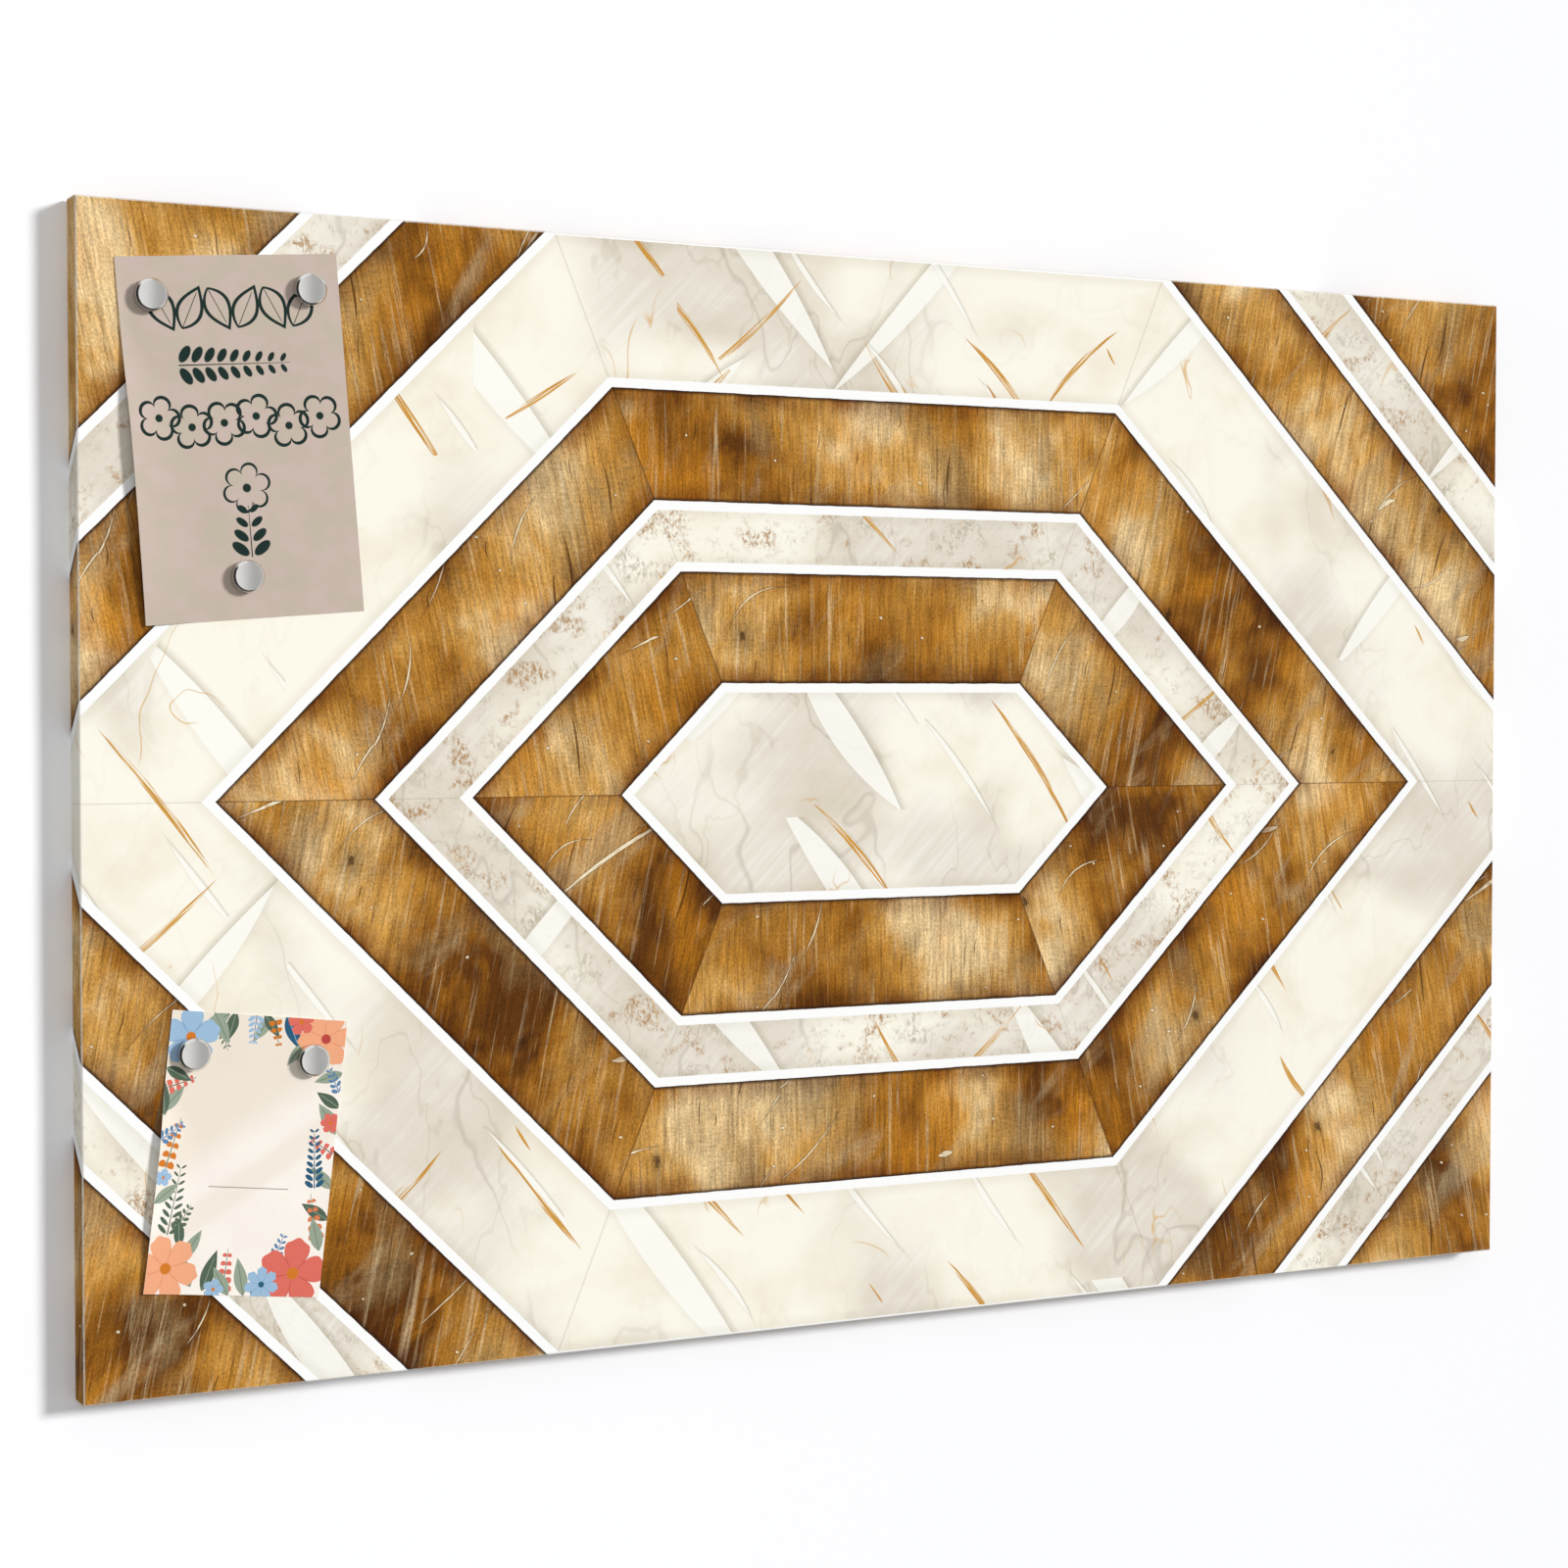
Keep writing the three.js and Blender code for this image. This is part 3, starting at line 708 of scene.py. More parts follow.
def film_rings(settings, front, rear):
    """Rectangles round the film, outer face then glued face: inset from the board's edge, depth, and how far
    round the fold each one lies"""
    radius = settings.bend_radius
    glued = radius - settings.thickness
    quarter = [math.pi / 2 * step / BEND_STEPS for step in range(BEND_STEPS + 1)]

    def front_fold(size, angle):
        return radius - size * math.sin(angle), front + radius - size * math.cos(angle)

    def rear_fold(size, angle):
        return radius - size * math.cos(angle), rear - radius + size * math.sin(angle)

    side = radius * math.pi / 2
    back = side + (rear - front) - 2 * radius
    end = back + side + settings.turn_in - radius
    outer = [(radius + HOLD, front, -HOLD)]
    outer += [(*front_fold(radius, angle), radius * angle) for angle in quarter]
    outer.append((0.0, front + radius + HOLD, side + HOLD))
    outer.append((0.0, rear - radius - HOLD, back - HOLD))
    outer += [(*rear_fold(radius, angle), back + radius * angle) for angle in quarter]
    outer.append((settings.turn_in, rear, end))
    inner = [(settings.turn_in, rear - settings.thickness, end)]
    inner += [(*rear_fold(glued, angle), end) for angle in reversed(quarter)]
    inner += [(*front_fold(glued, angle), end) for angle in reversed(quarter)]
    inner.append((radius + HOLD, front + settings.thickness, end))
    return outer, inner


def film_mesh(settings):
    low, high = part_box("print_film")
    outer, inner = film_rings(settings, low.y, high.y)
    shape = bmesh.new()
    picture = shape.loops.layers.uv.new("picture")
    rings = []
    for inset, depth, _ in outer + inner:
        x = high.x - inset
        z = high.z - inset
        corners = ((-x, depth, -z), (x, depth, -z), (x, depth, z), (-x, depth, z))
        rings.append([shape.verts.new(corner) for corner in corners])
    flat_x = high.x - settings.bend_radius
    flat_z = high.z - settings.bend_radius
    # Each side's picture runs straight on from the front over its fold
    unfold = (
        lambda corner, fold: (corner.x, -flat_z - fold),
        lambda corner, fold: (flat_x + fold, corner.z),
        lambda corner, fold: (corner.x, flat_z + fold),
        lambda corner, fold: (-flat_x - fold, corner.z),
    )
    folds = [fold for _, _, fold in outer + inner]
    for index in range(len(rings) - 1):
        near, far = rings[index], rings[index + 1]
        for side in range(4):
            following = (side + 1) % 4
            face = shape.faces.new((near[following], near[side], far[side], far[following]))
            face.material_index = 0 if index < len(outer) - 1 else 1
            for loop, step in zip(face.loops, (0, 0, 1, 1)):
                loop[picture].uv = unfold[side](loop.vert.co, folds[index + step])
    for ring, slot in ((rings[0], 0), (rings[-1][::-1], 1)):
        face = shape.faces.new(ring)
        face.material_index = slot
        for loop in face.loops:
            loop[picture].uv = (loop.vert.co.x, loop.vert.co.z)
    return finished_mesh("printed_film", shape, 30)


def slanted(graph, place, angle):
    """The place turned in the print's plane, for marks that lean"""
    return graph.made("ShaderNodeMapping", {"Vector": place, "Rotation": (0.0, 0.0, angle)})


def after(graph, place, colour):
    """The same place to a nanometre, tied to a colour so that the renderer works the colour out first: it
    can hold few values at once, and would otherwise start on all the marks together"""
    return place + colour * (0.000001, 0.000001, 0.0)


def printed_wood(graph, place, chance, settings):
    """Stained and worn wood: patches of colour, crisp fine grain, dents and pale scratches"""
    grain = timber(graph, place, 64.0, 31.0)
    broad = graph.noise(place, (112, 124), detail=4, roughness=0.56, distortion=0.3)
    warm = graph.noise(place, (58, 84), detail=4, roughness=0.55, distortion=0.4)
    along = graph.noise(place, (1.6, 22), detail=3, roughness=0.62)
    hatch = graph.noise(place, (8.5, 1.1), detail=1, roughness=0.6)
    grit = graph.noise(place, (1.1, 1.7), detail=2, roughness=0.75)
    fine = grain["Fibre"] - 0.5
    tone = graph.between(broad, 0.34, 0.66) + fine * 0.4
    tone = tone + (grain["Tone"] - 0.5) * 0.3
    tone = tone + graph.between(chance, 0, 1, -0.1, 0.12)
    colour = graph.ramp(
        tone,
        (
            (0.0, tuple(settings.wood_dark)),
            (0.2, ink(142, 90, 26)),
            (0.44, tuple(settings.wood_mid)),
            (0.66, ink(206, 156, 82)),
            (0.92, tuple(settings.wood_light)),
        ),
    )
    colour = graph.stained(colour, warm, 0.53, 0.66, 0.62, ink(148, 122, 82))
    colour = graph.stained(colour, warm, 0.46, 0.33, 0.5, ink(206, 134, 34))
    # Pale smears, rubbed slantwise, then pale and dark wisps along the grain
    smear = graph.noise(slanted(graph, place, 0.7), (34, 110), detail=4, roughness=0.6, distortion=0.6)
    colour = graph.mix(graph.eased(smear, 0.54, 0.7, 0, 0.5), colour, ink(184, 160, 122))
    wisps = graph.noise(place, (4.2, 96), detail=4, roughness=0.66, distortion=0.5)
    colour = graph.stained(colour, wisps, 0.56, 0.7, 0.5, ink(232, 208, 164))
    colour = graph.stained(colour, wisps, 0.44, 0.3, 0.5, ink(84, 48, 16))
    # Grain along the wood, a faint hatch across it in patches, and grit
    crossed = (hatch - 0.5) * graph.between(warm, 0.44, 0.6, 0, 0.5)
    crisp = (along - 0.5) * 1.4 + crossed
    crisp = crisp + (grit - 0.5) * 1.3
    shade = graph.between(crisp, -0.42, 0.42, 0.5, 1.48)
    colour = graph.mix(1.0, colour, graph.pack(shade, shade, shade), "MULTIPLY")
    colour = graph.mix(grain["Pore"] * 0.55, colour, ink(80, 44, 14))
    colour = graph.mix(grain["Knot"] * 0.85, colour, ink(62, 34, 14))
    place = after(graph, place, colour)
    for shape, angle, spread, bow, strength, seed in WOOD_MARKS:
        mark = strokes(graph, place, shape, Angle=angle, Spread=spread, Bow=bow, Rim=0.8, Seed=seed)
        frayed = graph.between(graph.noise(mark["Local"], (5, 0.7), detail=2), 0.36, 0.5, 0.25, 1)
        colour = graph.mix(mark["Rim"] * 0.6, colour, ink(70, 36, 10))
        colour = graph.mix(mark["Mask"] * frayed * strength, colour, ink(248, 236, 204))
    for shape, seed in WOOD_CRACKS:
        crack = strokes(graph, place, shape, Angle=1.55, Spread=0.3, Seed=seed)
        colour = graph.mix(crack["Mask"] * 0.75, colour, ink(70, 38, 12))
    return colour


def printed_stone(graph, place, chance, narrow, settings):
    """Pale polished stone: cream with drifts, bright shards and gold marks, and stained in narrow bands"""
    drift = graph.noise(place, (120, 120), detail=2, output="Color")
    moved = place + drift * (60.0, 60.0, 0.0)
    zone = graph.noise(moved, (150, 150), detail=2, roughness=0.45)
    zone = graph.eased(zone + graph.between(chance, 0, 1, -0.04, 0.04), 0.44, 0.58)
    clouds = graph.noise(moved, (62, 48), detail=4, roughness=0.55)
    brushed = graph.noise(slanted(graph, place, 0.78), (3.4, 80), detail=3, roughness=0.6)
    cream = graph.mix(graph.between(clouds, 0.48, 0.7), tuple(settings.stone_light), ink(247, 239, 220))
    grey = graph.mix(graph.between(clouds, 0.36, 0.7), ink(238, 232, 220), tuple(settings.stone_grey))
    patchy = graph.between(clouds, 0.36, 0.6, 1, 0.2)
    grey = graph.mix(graph.between(brushed, 0.46, 0.68, 0, 0.3) * patchy, grey, ink(206, 196, 176))
    grey = graph.mix(graph.between(brushed, 0.46, 0.34, 0, 0.36) * patchy, grey, ink(250, 247, 238))
    colour = graph.mix(zone, cream, grey)
    place = after(graph, place, colour)
    # Rusty and grey stains, speckled, in the narrow bands
    blots = graph.noise(place, (30, 24), detail=5, roughness=0.62)
    specks = graph.noise(place, (2.4, 3.6), detail=3, roughness=0.75, distortion=0.6)
    speckled = graph.between(specks, 0.44, 0.6, 0, 0.85) * narrow
    rusty = graph.between(blots, 0.53, 0.62) * speckled
    greyed = graph.between(blots, 0.48, 0.36) * speckled
    colour = graph.mix(greyed, colour, ink(190, 180, 160))
    colour = graph.mix(rusty, colour, ink(172, 126, 66))
    grit = graph.noise(place, (1.2, 1.2), detail=2, roughness=0.8)
    gritty = graph.between(grit, 0.6, 0.72, 0, 0.36) * graph.between(clouds, 0.44, 0.6)
    colour = graph.mix(gritty * graph.between(zone, 0, 1, 0.3, 1), colour, ink(164, 148, 120))
    moved = after(graph, moved, colour)
    for width, depth, seed, tint in STONE_VEINS:
        shifted = moved + (seed, seed, seed)
        vein = graph.noise(shifted, (width, width * 1.8, width), detail=4, roughness=0.5)
        ridge = abs(vein - 0.5)
        soft = graph.eased(ridge, 0.0, 0.009, depth, 0)
        colour = graph.mix(soft * graph.between(zone, 0.1, 0.9, 0.12, 1), colour, tint)
    place = after(graph, place, colour)
    for shape, angle, spread, rim, seed in STONE_SHARDS:
        shard = strokes(graph, place, shape, Angle=angle, Spread=spread, Bow=0.05, Rim=rim, Seed=seed)
        # Each shard throws a soft shade along one side
        shaded = graph.between(graph.axes(shard["Local"])[1], -0.5, 0.5, 0.12, 0.5)
        colour = graph.mix(shard["Rim"] * shaded, colour, ink(176, 164, 142))
        colour = graph.mix(shard["Mask"] * 0.82, colour, ink(255, 254, 246))
    moved_on = moved + (311.0, 97.0, 0.0)
    thread = graph.noise(moved_on, (74, 132), detail=3, roughness=0.5, distortion=0.5)
    line = graph.eased(abs(thread - 0.5), 0.0, 0.0045, 1, 0)
    where = graph.between(graph.noise(place, (92, 92), detail=2), 0.56, 0.62)
    colour = graph.mix(line * where * 0.7, colour, tuple(settings.gold))
    place = after(graph, place, colour)
    for shape, angle, seed in STONE_GOLD:
        stroke = strokes(graph, place, shape, Angle=angle, Spread=0.5, Bow=0.08, Seed=seed)
        hairs = graph.noise(stroke["Local"], (34, 0.8), detail=2, roughness=0.6)
        shown = stroke["Mask"] * graph.between(hairs, 0.42, 0.5, 0, 0.95)
        tinted = graph.mix(graph.between(hairs, 0.5, 0.66), tuple(settings.gold), ink(192, 128, 30))
        colour = graph.mix(shown, colour, tinted)
    return colour


def film_material(settings):
    """The whole print: nested hexagons of wood and stone, divided by white lines"""
    graph, finish = new_material("Printed film", {"Roughness": 0.42, "Specular IOR Level": 0.1, "IOR": 1.5})
    place = map_millimetres(graph, "picture")
    x, y, _ = graph.axes(place)
    wide = abs(x)
    tall = abs(y)
    slant = (wide + tall) * math.sqrt(0.5) - settings.elongation * PER_METRE
    ring = graph.math("MAXIMUM", tall, slant)
    waver = graph.noise(place, (9, 9), detail=2)
    ring = ring + graph.between(waver, 0.3, 0.7, -0.13, 0.13)
    half = settings.fillet * PER_METRE / 2
    nearest = None
    count = None
    for border in INLAY_BORDERS:
        away = abs(ring - border)
        passed = graph.math("GREATER_THAN", ring, border)
        nearest = away if nearest is None else graph.math("MINIMUM", nearest, away)
        count = passed if count is None else count + passed
    beyond = nearest - half
    in_wood = count % 2.0
    # Every inlay is a piece of its own, so its texture starts elsewhere and its grain leans its own way
    sloped = graph.math("GREATER_THAN", slant, tall)
    side = graph.math("SIGN", x) * sloped
    piece = graph.pack(count, side, graph.math("SIGN", y)) + (0.0, 2.0, 2.0)
    wood_chance = graph.chance("3D", Vector=piece)
    stone_chance = graph.chance("1D", W=count)
    lean = side * tall * 0.2
    leaning = place - graph.pack(lean)
    far_off = (900.0, 900.0, 0.0)
    wood_place = leaning + wood_chance["Color"] * far_off
    wood = printed_wood(graph, wood_place, wood_chance["Value"], settings)
    stone_place = place + stone_chance["Color"] * far_off
    stone_place = after(graph, stone_place, wood)
    narrow = graph.math("COMPARE", count % 4.0, 2.0, 0.5)
    stone = printed_stone(graph, stone_place, stone_chance["Value"], narrow, settings)
    # Thin joints where the pieces meet at the hexagons' corners
    nowhere = (1.0 - sloped) * 100.0
    joint = graph.math("MINIMUM", abs(tall - slant), tall + nowhere)
    wood = graph.mix(graph.between(joint, 0.15, 0.5, 0.6, 0), wood, ink(84, 46, 16))
    seam = graph.between(joint, 0.15, 0.5, 0.3, 0) * graph.math("GREATER_THAN", count, 0.5)
    stone = graph.mix(seam, stone, ink(170, 160, 144))
    # Shade that the white lines throw on the wood: a dark edge, then a soft fall
    patchy = graph.between(graph.noise(place, (32, 32), detail=2), 0.35, 0.65, 0.25, 1)
    soft = graph.eased(beyond, 0, 15, 0.8, 0) * patchy
    wood = graph.mix(soft, wood, ink(132, 84, 40), "MULTIPLY")
    wood = graph.mix(graph.between(beyond, 0.3, 2.3, 1, 0), wood, ink(44, 20, 6))
    soft = graph.eased(beyond, 0, 7, 0.2, 0)
    stone = graph.mix(soft, stone, ink(200, 190, 172), "MULTIPLY")
    colour = graph.mix(in_wood, stone, wood)
    colour = graph.mix(graph.between(beyond, -0.15, 0.15, 1, 0), colour, ink(255, 255, 254))
    # A pale line along each fold: the film stretched pale there, and a painted highlight of the fold
    # catching light
    low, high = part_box("print_film")
    fold = settings.bend_radius * (math.pi / 4 - 1)
    across = abs(wide - (high.x + fold) * PER_METRE)
    over = abs(tall - (high.z + fold) * PER_METRE)
    worn = graph.between(graph.noise(place, (5, 5), detail=2), 0.3, 0.7, 0.45, 0.85)
    pale = graph.between(graph.math("MINIMUM", across, over), 0.2, 0.75, 1, 0) * worn
    colour = graph.mix(pale, colour, ink(250, 246, 236))
    sheen = graph.between(graph.noise(place, (60, 60), detail=3), 0.3, 0.7, 0.38, 0.48)
    skin = graph.noise(place, (1.4, 1.4), detail=2)
    return finish(colour, sheen, skin, 0.00002, 0.35)


def glued_side_material():
    """The film's glued face: greyish white with the glue's faint blotches"""
    graph, finish = new_material("Film backing", {"Roughness": 0.6})
    place = object_millimetres(graph)
    glue = graph.noise(place, (18, 18, 18), detail=4, roughness=0.6)
    colour = graph.mix(graph.between(glue, 0.35, 0.65), ink(232, 230, 222), ink(214, 211, 200))
    return finish(colour, graph.between(glue, 0.3, 0.7, 0.45, 0.7), glue, 0.0001, 0.2)


class BOARD_OT_film(bpy.types.Operator):
    """Wrap the printed film over the front, the sides and the rear edge"""

    bl_idname = "board.film"
    bl_label = "Printed film"

    def execute(self, context):
        settings = context.scene.board_print
        mesh = film_mesh(settings)
        mesh.materials.append(film_material(settings))
        mesh.materials.append(glued_side_material())
        new_piece("printed_film", mesh, "board", "print", "print_film")
        return {"FINISHED"}


# Tray, rails and back panel


def coated_steel_material():
    """Primer-coated sheet: slight orange peel, soft clouds and dust in the coat"""
    graph, finish = new_material(
        "Coated sheet", {"Metallic": 0.0, "Coat Weight": 0.25, "Coat Roughness": 0.2}
    )
    place = object_millimetres(graph)
    cloud = graph.noise(place, (40, 40, 40), detail=4)
    dust = graph.noise(place, (0.8, 0.8, 0.8), detail=1)
    colour = graph.mix(graph.between(cloud, 0.35, 0.7), ink(232, 232, 228), ink(220, 221, 218))
    colour = graph.stained(colour, dust, 0.72, 0.78, 0.5, ink(150, 150, 146))
    peel = graph.noise(place, (1.1, 1.1, 1.1), detail=2)
    return finish(colour, graph.between(peel, 0.3, 0.7, 0.32, 0.46), peel, 0.00005, 0.5)


def pine_material(name, quarter_turn):
    """Planed pine; the grain runs along Z, or along X where it is given a quarter turn"""
    graph, finish = new_material(name, {"Specular IOR Level": 0.35})
    place = object_millimetres(graph)
    about_z = math.pi / 2 if quarter_turn else 0.0
    turned = graph.made("ShaderNodeMapping", {"Vector": place, "Rotation": (math.pi / 2, 0.0, about_z)})
    grain = timber(graph, turned, 30.0, 7.0)
    rings = graph.noise(turned, (5.5, 260, 9), detail=2, distortion=0.3)
    late = graph.between(graph.math("PINGPONG", rings * 9.0, 0.5), 0.3, 0.5)
    colour = graph.mix(grain["Tone"], ink(205, 168, 112), ink(228, 198, 150))
    colour = graph.mix(late * 0.5, colour, ink(176, 126, 72))
    colour = graph.stained(colour, grain["Fibre"], 0.35, 0.7, 0.35, ink(240, 218, 178))
    colour = graph.mix(grain["Knot"] * 0.8, colour, ink(112, 66, 34))
    return finish(colour, graph.between(grain["Fibre"], 0.3, 0.7, 0.6, 0.8), grain["Fibre"], 0.0001, 0.4)


def hardboard_material():
    """Pressed brown fibreboard: matted fibres, dark flecks of bark, soft clouds and a few rubbed scuffs"""
    graph, finish = new_material("Hardboard", {"Specular IOR Level": 0.3})
    place = object_millimetres(graph)
    flat = place * (1.0, 0.0, 1.0)
    fibres = graph.noise(flat, (1.8, 1, 1.1), detail=4, roughness=0.7, distortion=2.2)
    strands = graph.noise(flat, (0.9, 1, 5), detail=3, roughness=0.6, distortion=1.6)
    bark = graph.noise(flat, (3.2, 1, 2.2), detail=3, roughness=0.7)
    cloud = graph.noise(flat, (130, 1, 110), detail=5, roughness=0.6)
    scuff_and_highlight = graph.noise(flat, (150, 1, 12), detail=4, roughness=0.6)
    matted = fibres * 0.6 + strands * 0.4
    browns = (ink(104, 70, 42), ink(144, 103, 65), ink(168, 126, 83), ink(202, 162, 116))
    colour = graph.ramp(matted, tuple(zip((0.3, 0.45, 0.56, 0.7), browns)))
    colour = graph.stained(colour, cloud, 0.42, 0.66, 0.45, ink(112, 76, 46))
    colour = graph.stained(colour, cloud, 0.44, 0.3, 0.3, ink(176, 132, 86))
    colour = graph.stained(colour, bark, 0.66, 0.74, 0.7, ink(62, 40, 24))
    colour = graph.stained(colour, scuff_and_highlight, 0.62, 0.72, 0.28, ink(196, 160, 118))
    return finish(colour, graph.between(scuff_and_highlight, 0.5, 0.7, 0.74, 0.56), matted, 0.0002, 0.6)


class BOARD_OT_shell(bpy.types.Operator):
    """Finish the steel tray, the wooden rails and the back panel"""

    bl_idname = "board.shell"
    bl_label = "Tray, rails and back panel"

    def execute(self, context):
        finish_node("steel_tray", coated_steel_material())
        materials = {True: pine_material("Pine along", True), False: pine_material("Pine upright", False)}
        for rail in ("top", "bottom", "left", "right", "middle"):
            finish_node(rail + "_rail", materials[rail in ("top", "bottom")])
        finish_node("back_panel", hardboard_material())
        return {"FINISHED"}


# Geometry Nodes pieces


def made_by_nodes(name, base, tree, values, body, slot, *nodes):
    holder = bpy.data.objects.new(name + "_maker", base)
    bpy.context.scene.collection.objects.link(holder)
    modifier = holder.modifiers.new("Make", "NODES")
    modifier.node_group = tree
    for item in tree.interface.items_tree:
        if item.item_type == "SOCKET" and item.in_out == "INPUT" and item.name in values:
            modifier[item.identifier] = values[item.name]
    holder.update_tag()
    evaluated = holder.evaluated_get(bpy.context.evaluated_depsgraph_get())
    mesh = bpy.data.meshes.new_from_object(evaluated)
    holder.modifiers.remove(modifier)
    bpy.data.objects.remove(holder)
    if len(mesh.polygons) == 0:
        raise RuntimeError(f"{name}: its tree made no faces")
    mesh.name = name
    smooth_but_sharp(mesh, 32)
    return new_piece(name, mesh, body, slot, *nodes)


def rectangle(graph, width, height):
    inputs = {"Width": width, "Height": height}
    return graph.made("GeometryNodeCurvePrimitiveQuadrilateral", inputs, mode="RECTANGLE")


def turned_round(graph, geometry, x=0.0, z=0.0):
    return graph.made("GeometryNodeTransform", {"Geometry": geometry, "Rotation": (x, 0.0, z)})


def realised(graph, geometry, material):
    """The end of a tree: geometry without instances, in its material"""
    real = graph.made("GeometryNodeRealizeInstances", {"Geometry": geometry})
    return graph.made("GeometryNodeSetMaterial", {"Geometry": real, "Material": material})


def honeycomb_tree():
    """Six-sided cells of card in rows, inside a straight frame of the same card"""
    tree, graph, given, put_out = new_group(
        "Honeycomb core",
        {"Width": 0.3, "Height": 0.4, "Depth": 0.01, "Cell": 0.018, "Wall": 0.0004, "Material": "Material"},
        {"Geometry": "Geometry"},
        "GeometryNodeTree",
    )
    section = rectangle(graph, given["Wall"], given["Depth"])
    clear = given["Wall"] * 1.05
    radius = (given["Cell"] - clear) / math.sqrt(3)
    sides = {"Resolution": 6, "Radius": radius}
    hexagon = graph.made("GeometryNodeCurvePrimitiveCircle", sides, mode="RADIUS")
    upright = turned_round(graph, hexagon, z=math.pi / 6)
    cell = graph.made("GeometryNodeCurveToMesh", {"Curve": upright, "Profile Curve": section})
    row = given["Cell"] * (math.sqrt(3) / 2)
    across = graph.math("FLOOR", given["Width"] / given["Cell"]) - 1.0
    up = graph.math("FLOOR", (given["Height"] - given["Cell"]) / row)
    size = {"Size X": (across - 1.0) * given["Cell"], "Size Y": (up - 1.0) * row}
    grid = graph.made("GeometryNodeMeshGrid", {**size, "Vertices X": across, "Vertices Y": up})
    place = graph.made("GeometryNodeInputPosition")
    from_low = graph.axes(place)[1] + (up - 1.0) * (row * 0.5)
    odd = graph.math("ROUND", from_low / row) % 2.0
    step = (odd - 0.5) * (given["Cell"] * 0.5)
    staggered = graph.made("GeometryNodeSetPosition", {"Geometry": grid, "Offset": graph.pack(step)})
    cells = graph.made("GeometryNodeInstanceOnPoints", {"Points": staggered, "Instance": cell})
    outline = rectangle(graph, given["Width"] - given["Wall"], given["Height"] - given["Wall"])
    border = graph.made("GeometryNodeCurveToMesh", {"Curve": outline, "Profile Curve": section})
    joined = graph.node("GeometryNodeJoinGeometry")
    for part in (cells, border):
        graph.join(part, joined.inputs[0])
    whole = turned_round(graph, Wire(graph, joined.outputs[0]), x=math.pi / 2)
    put_out(geometry=realised(graph, whole, given["Material"]))
    return tree


def core_card_material():
    """Grey-brown card of the honeycomb"""
    graph, finish = new_material("Core card", {"Specular IOR Level": 0.2})
    place = object_millimetres(graph)
    stock = paper(graph, place)
    colour = graph.mix(graph.between(stock["Tone"], 0.35, 0.65), ink(158, 130, 92), ink(190, 160, 118))
    return finish(colour, graph.between(stock["Tooth"], 0.3, 0.7, 0.8, 0.95), stock["Tooth"], 0.0001, 0.5)


class BOARD_OT_core(bpy.types.Operator):
    """Fill the bays between the rails with honeycomb card"""

    bl_idname = "board.core"
    bl_label = "Honeycomb core"

    def execute(self, context):
        settings = context.scene.board_core
        tree = honeycomb_tree()
        material = core_card_material()
        for node in ("left_core", "right_core"):
            low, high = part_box(node)
            size = high - low
            values = {"Width": size.x, "Height": size.z, "Depth": size.y, "Material": material}
            values |= {"Cell": settings.cell, "Wall": settings.wall}
            base = bpy.data.meshes.new(node + "_base")
            piece = made_by_nodes(node + "_honeycomb", base, tree, values, "board", "core_card", node)
            piece.data.transform(Matrix.Translation((low + high) / 2))
        return {"FINISHED"}


SCREW_RINGS = 96


def screw_tree():
    """A wood screw, its head towards +Y, at each point given and turned at random about its axis"""
    tree, graph, given, put_out = new_group(
        "Wood screws",
        {
            "Points": "Geometry", "Length": 0.012, "Shank": 0.003, "Head": 0.0058, "Head height": 0.0014,
            "Countersunk": True, "Pitch": 0.0013, "Thread": 0.00035, "Recess": 0.0026, "Facets": 24,
            "Seed": 3, "Material": "Material",
        },
        {"Geometry": "Geometry"},
        "GeometryNodeTree",
    )
    bar = graph.made(
        "GeometryNodeMeshCylinder",
        {"Vertices": given["Facets"], "Side Segments": SCREW_RINGS, "Radius": 1.0, "Depth": 1.0},
        fill_type="TRIANGLE_FAN",
    )
    x, y, z = graph.axes(graph.made("GeometryNodeInputPosition"))
    down = (0.5 - z) * given["Length"]
    head = given["Head"] * 0.5
    cone = head - down
    rise = 1.0 - down / given["Head height"]
    dome = graph.math("SQRT", 1.0 - rise * rise * 0.45)
    pan = head * dome * graph.math("GREATER_THAN", rise, 0.0)
    heads = {"Switch": given["Countersunk"], "False": pan, "True": cone}
    top = graph.made("GeometryNodeSwitch", heads, input_type="FLOAT")
    turn = graph.math("ARCTAN2", y, x) / (2 * math.pi)
    phase = down / given["Pitch"] - turn
    ridge = graph.math("POWER", graph.math("PINGPONG", phase, 0.5) * 2.0, 2.2)
    plain = graph.between(down, given["Length"] * 0.3, given["Length"] * 0.42)
    core = given["Shank"] * 0.5 - given["Thread"]
    thread = given["Thread"] * ridge * plain
    collar = given["Thread"] * (1.0 - plain)
    shank = core + thread + collar * 0.7
    tip = (given["Length"] - down) * 0.72 + 0.00005
    radius = graph.math("MINIMUM", graph.math("MAXIMUM", top, shank), tip)
    place = graph.pack(x * radius, y * radius, down * -1.0)
    turned = graph.made("GeometryNodeSetPosition", {"Geometry": bar, "Position": place})
    wide = given["Recess"]
    narrow = wide * 0.27
    deep = wide * 0.6
    cut = graph.node("GeometryNodeMeshBoolean", {"Mesh 1": turned}, operation="DIFFERENCE")
    for size in (graph.pack(wide, narrow, deep), graph.pack(narrow, wide, deep)):
        graph.join(graph.made("GeometryNodeMeshCube", {"Size": size}), cut.inputs["Mesh 2"])
    upright = turned_round(graph, Wire(graph, cut.outputs[0]), x=-math.pi / 2)
    spin = graph.made(
        "FunctionNodeRandomValue",
        {"Min": (0.0, 0.0, 0.0), "Max": (0.0, math.pi, 0.0), "Seed": given["Seed"]},
        data_type="FLOAT_VECTOR",
    )
    driven = graph.made(
        "GeometryNodeInstanceOnPoints", {"Points": given["Points"], "Instance": upright, "Rotation": spin}
    )
    put_out(geometry=realised(graph, driven, given["Material"]))
    return tree


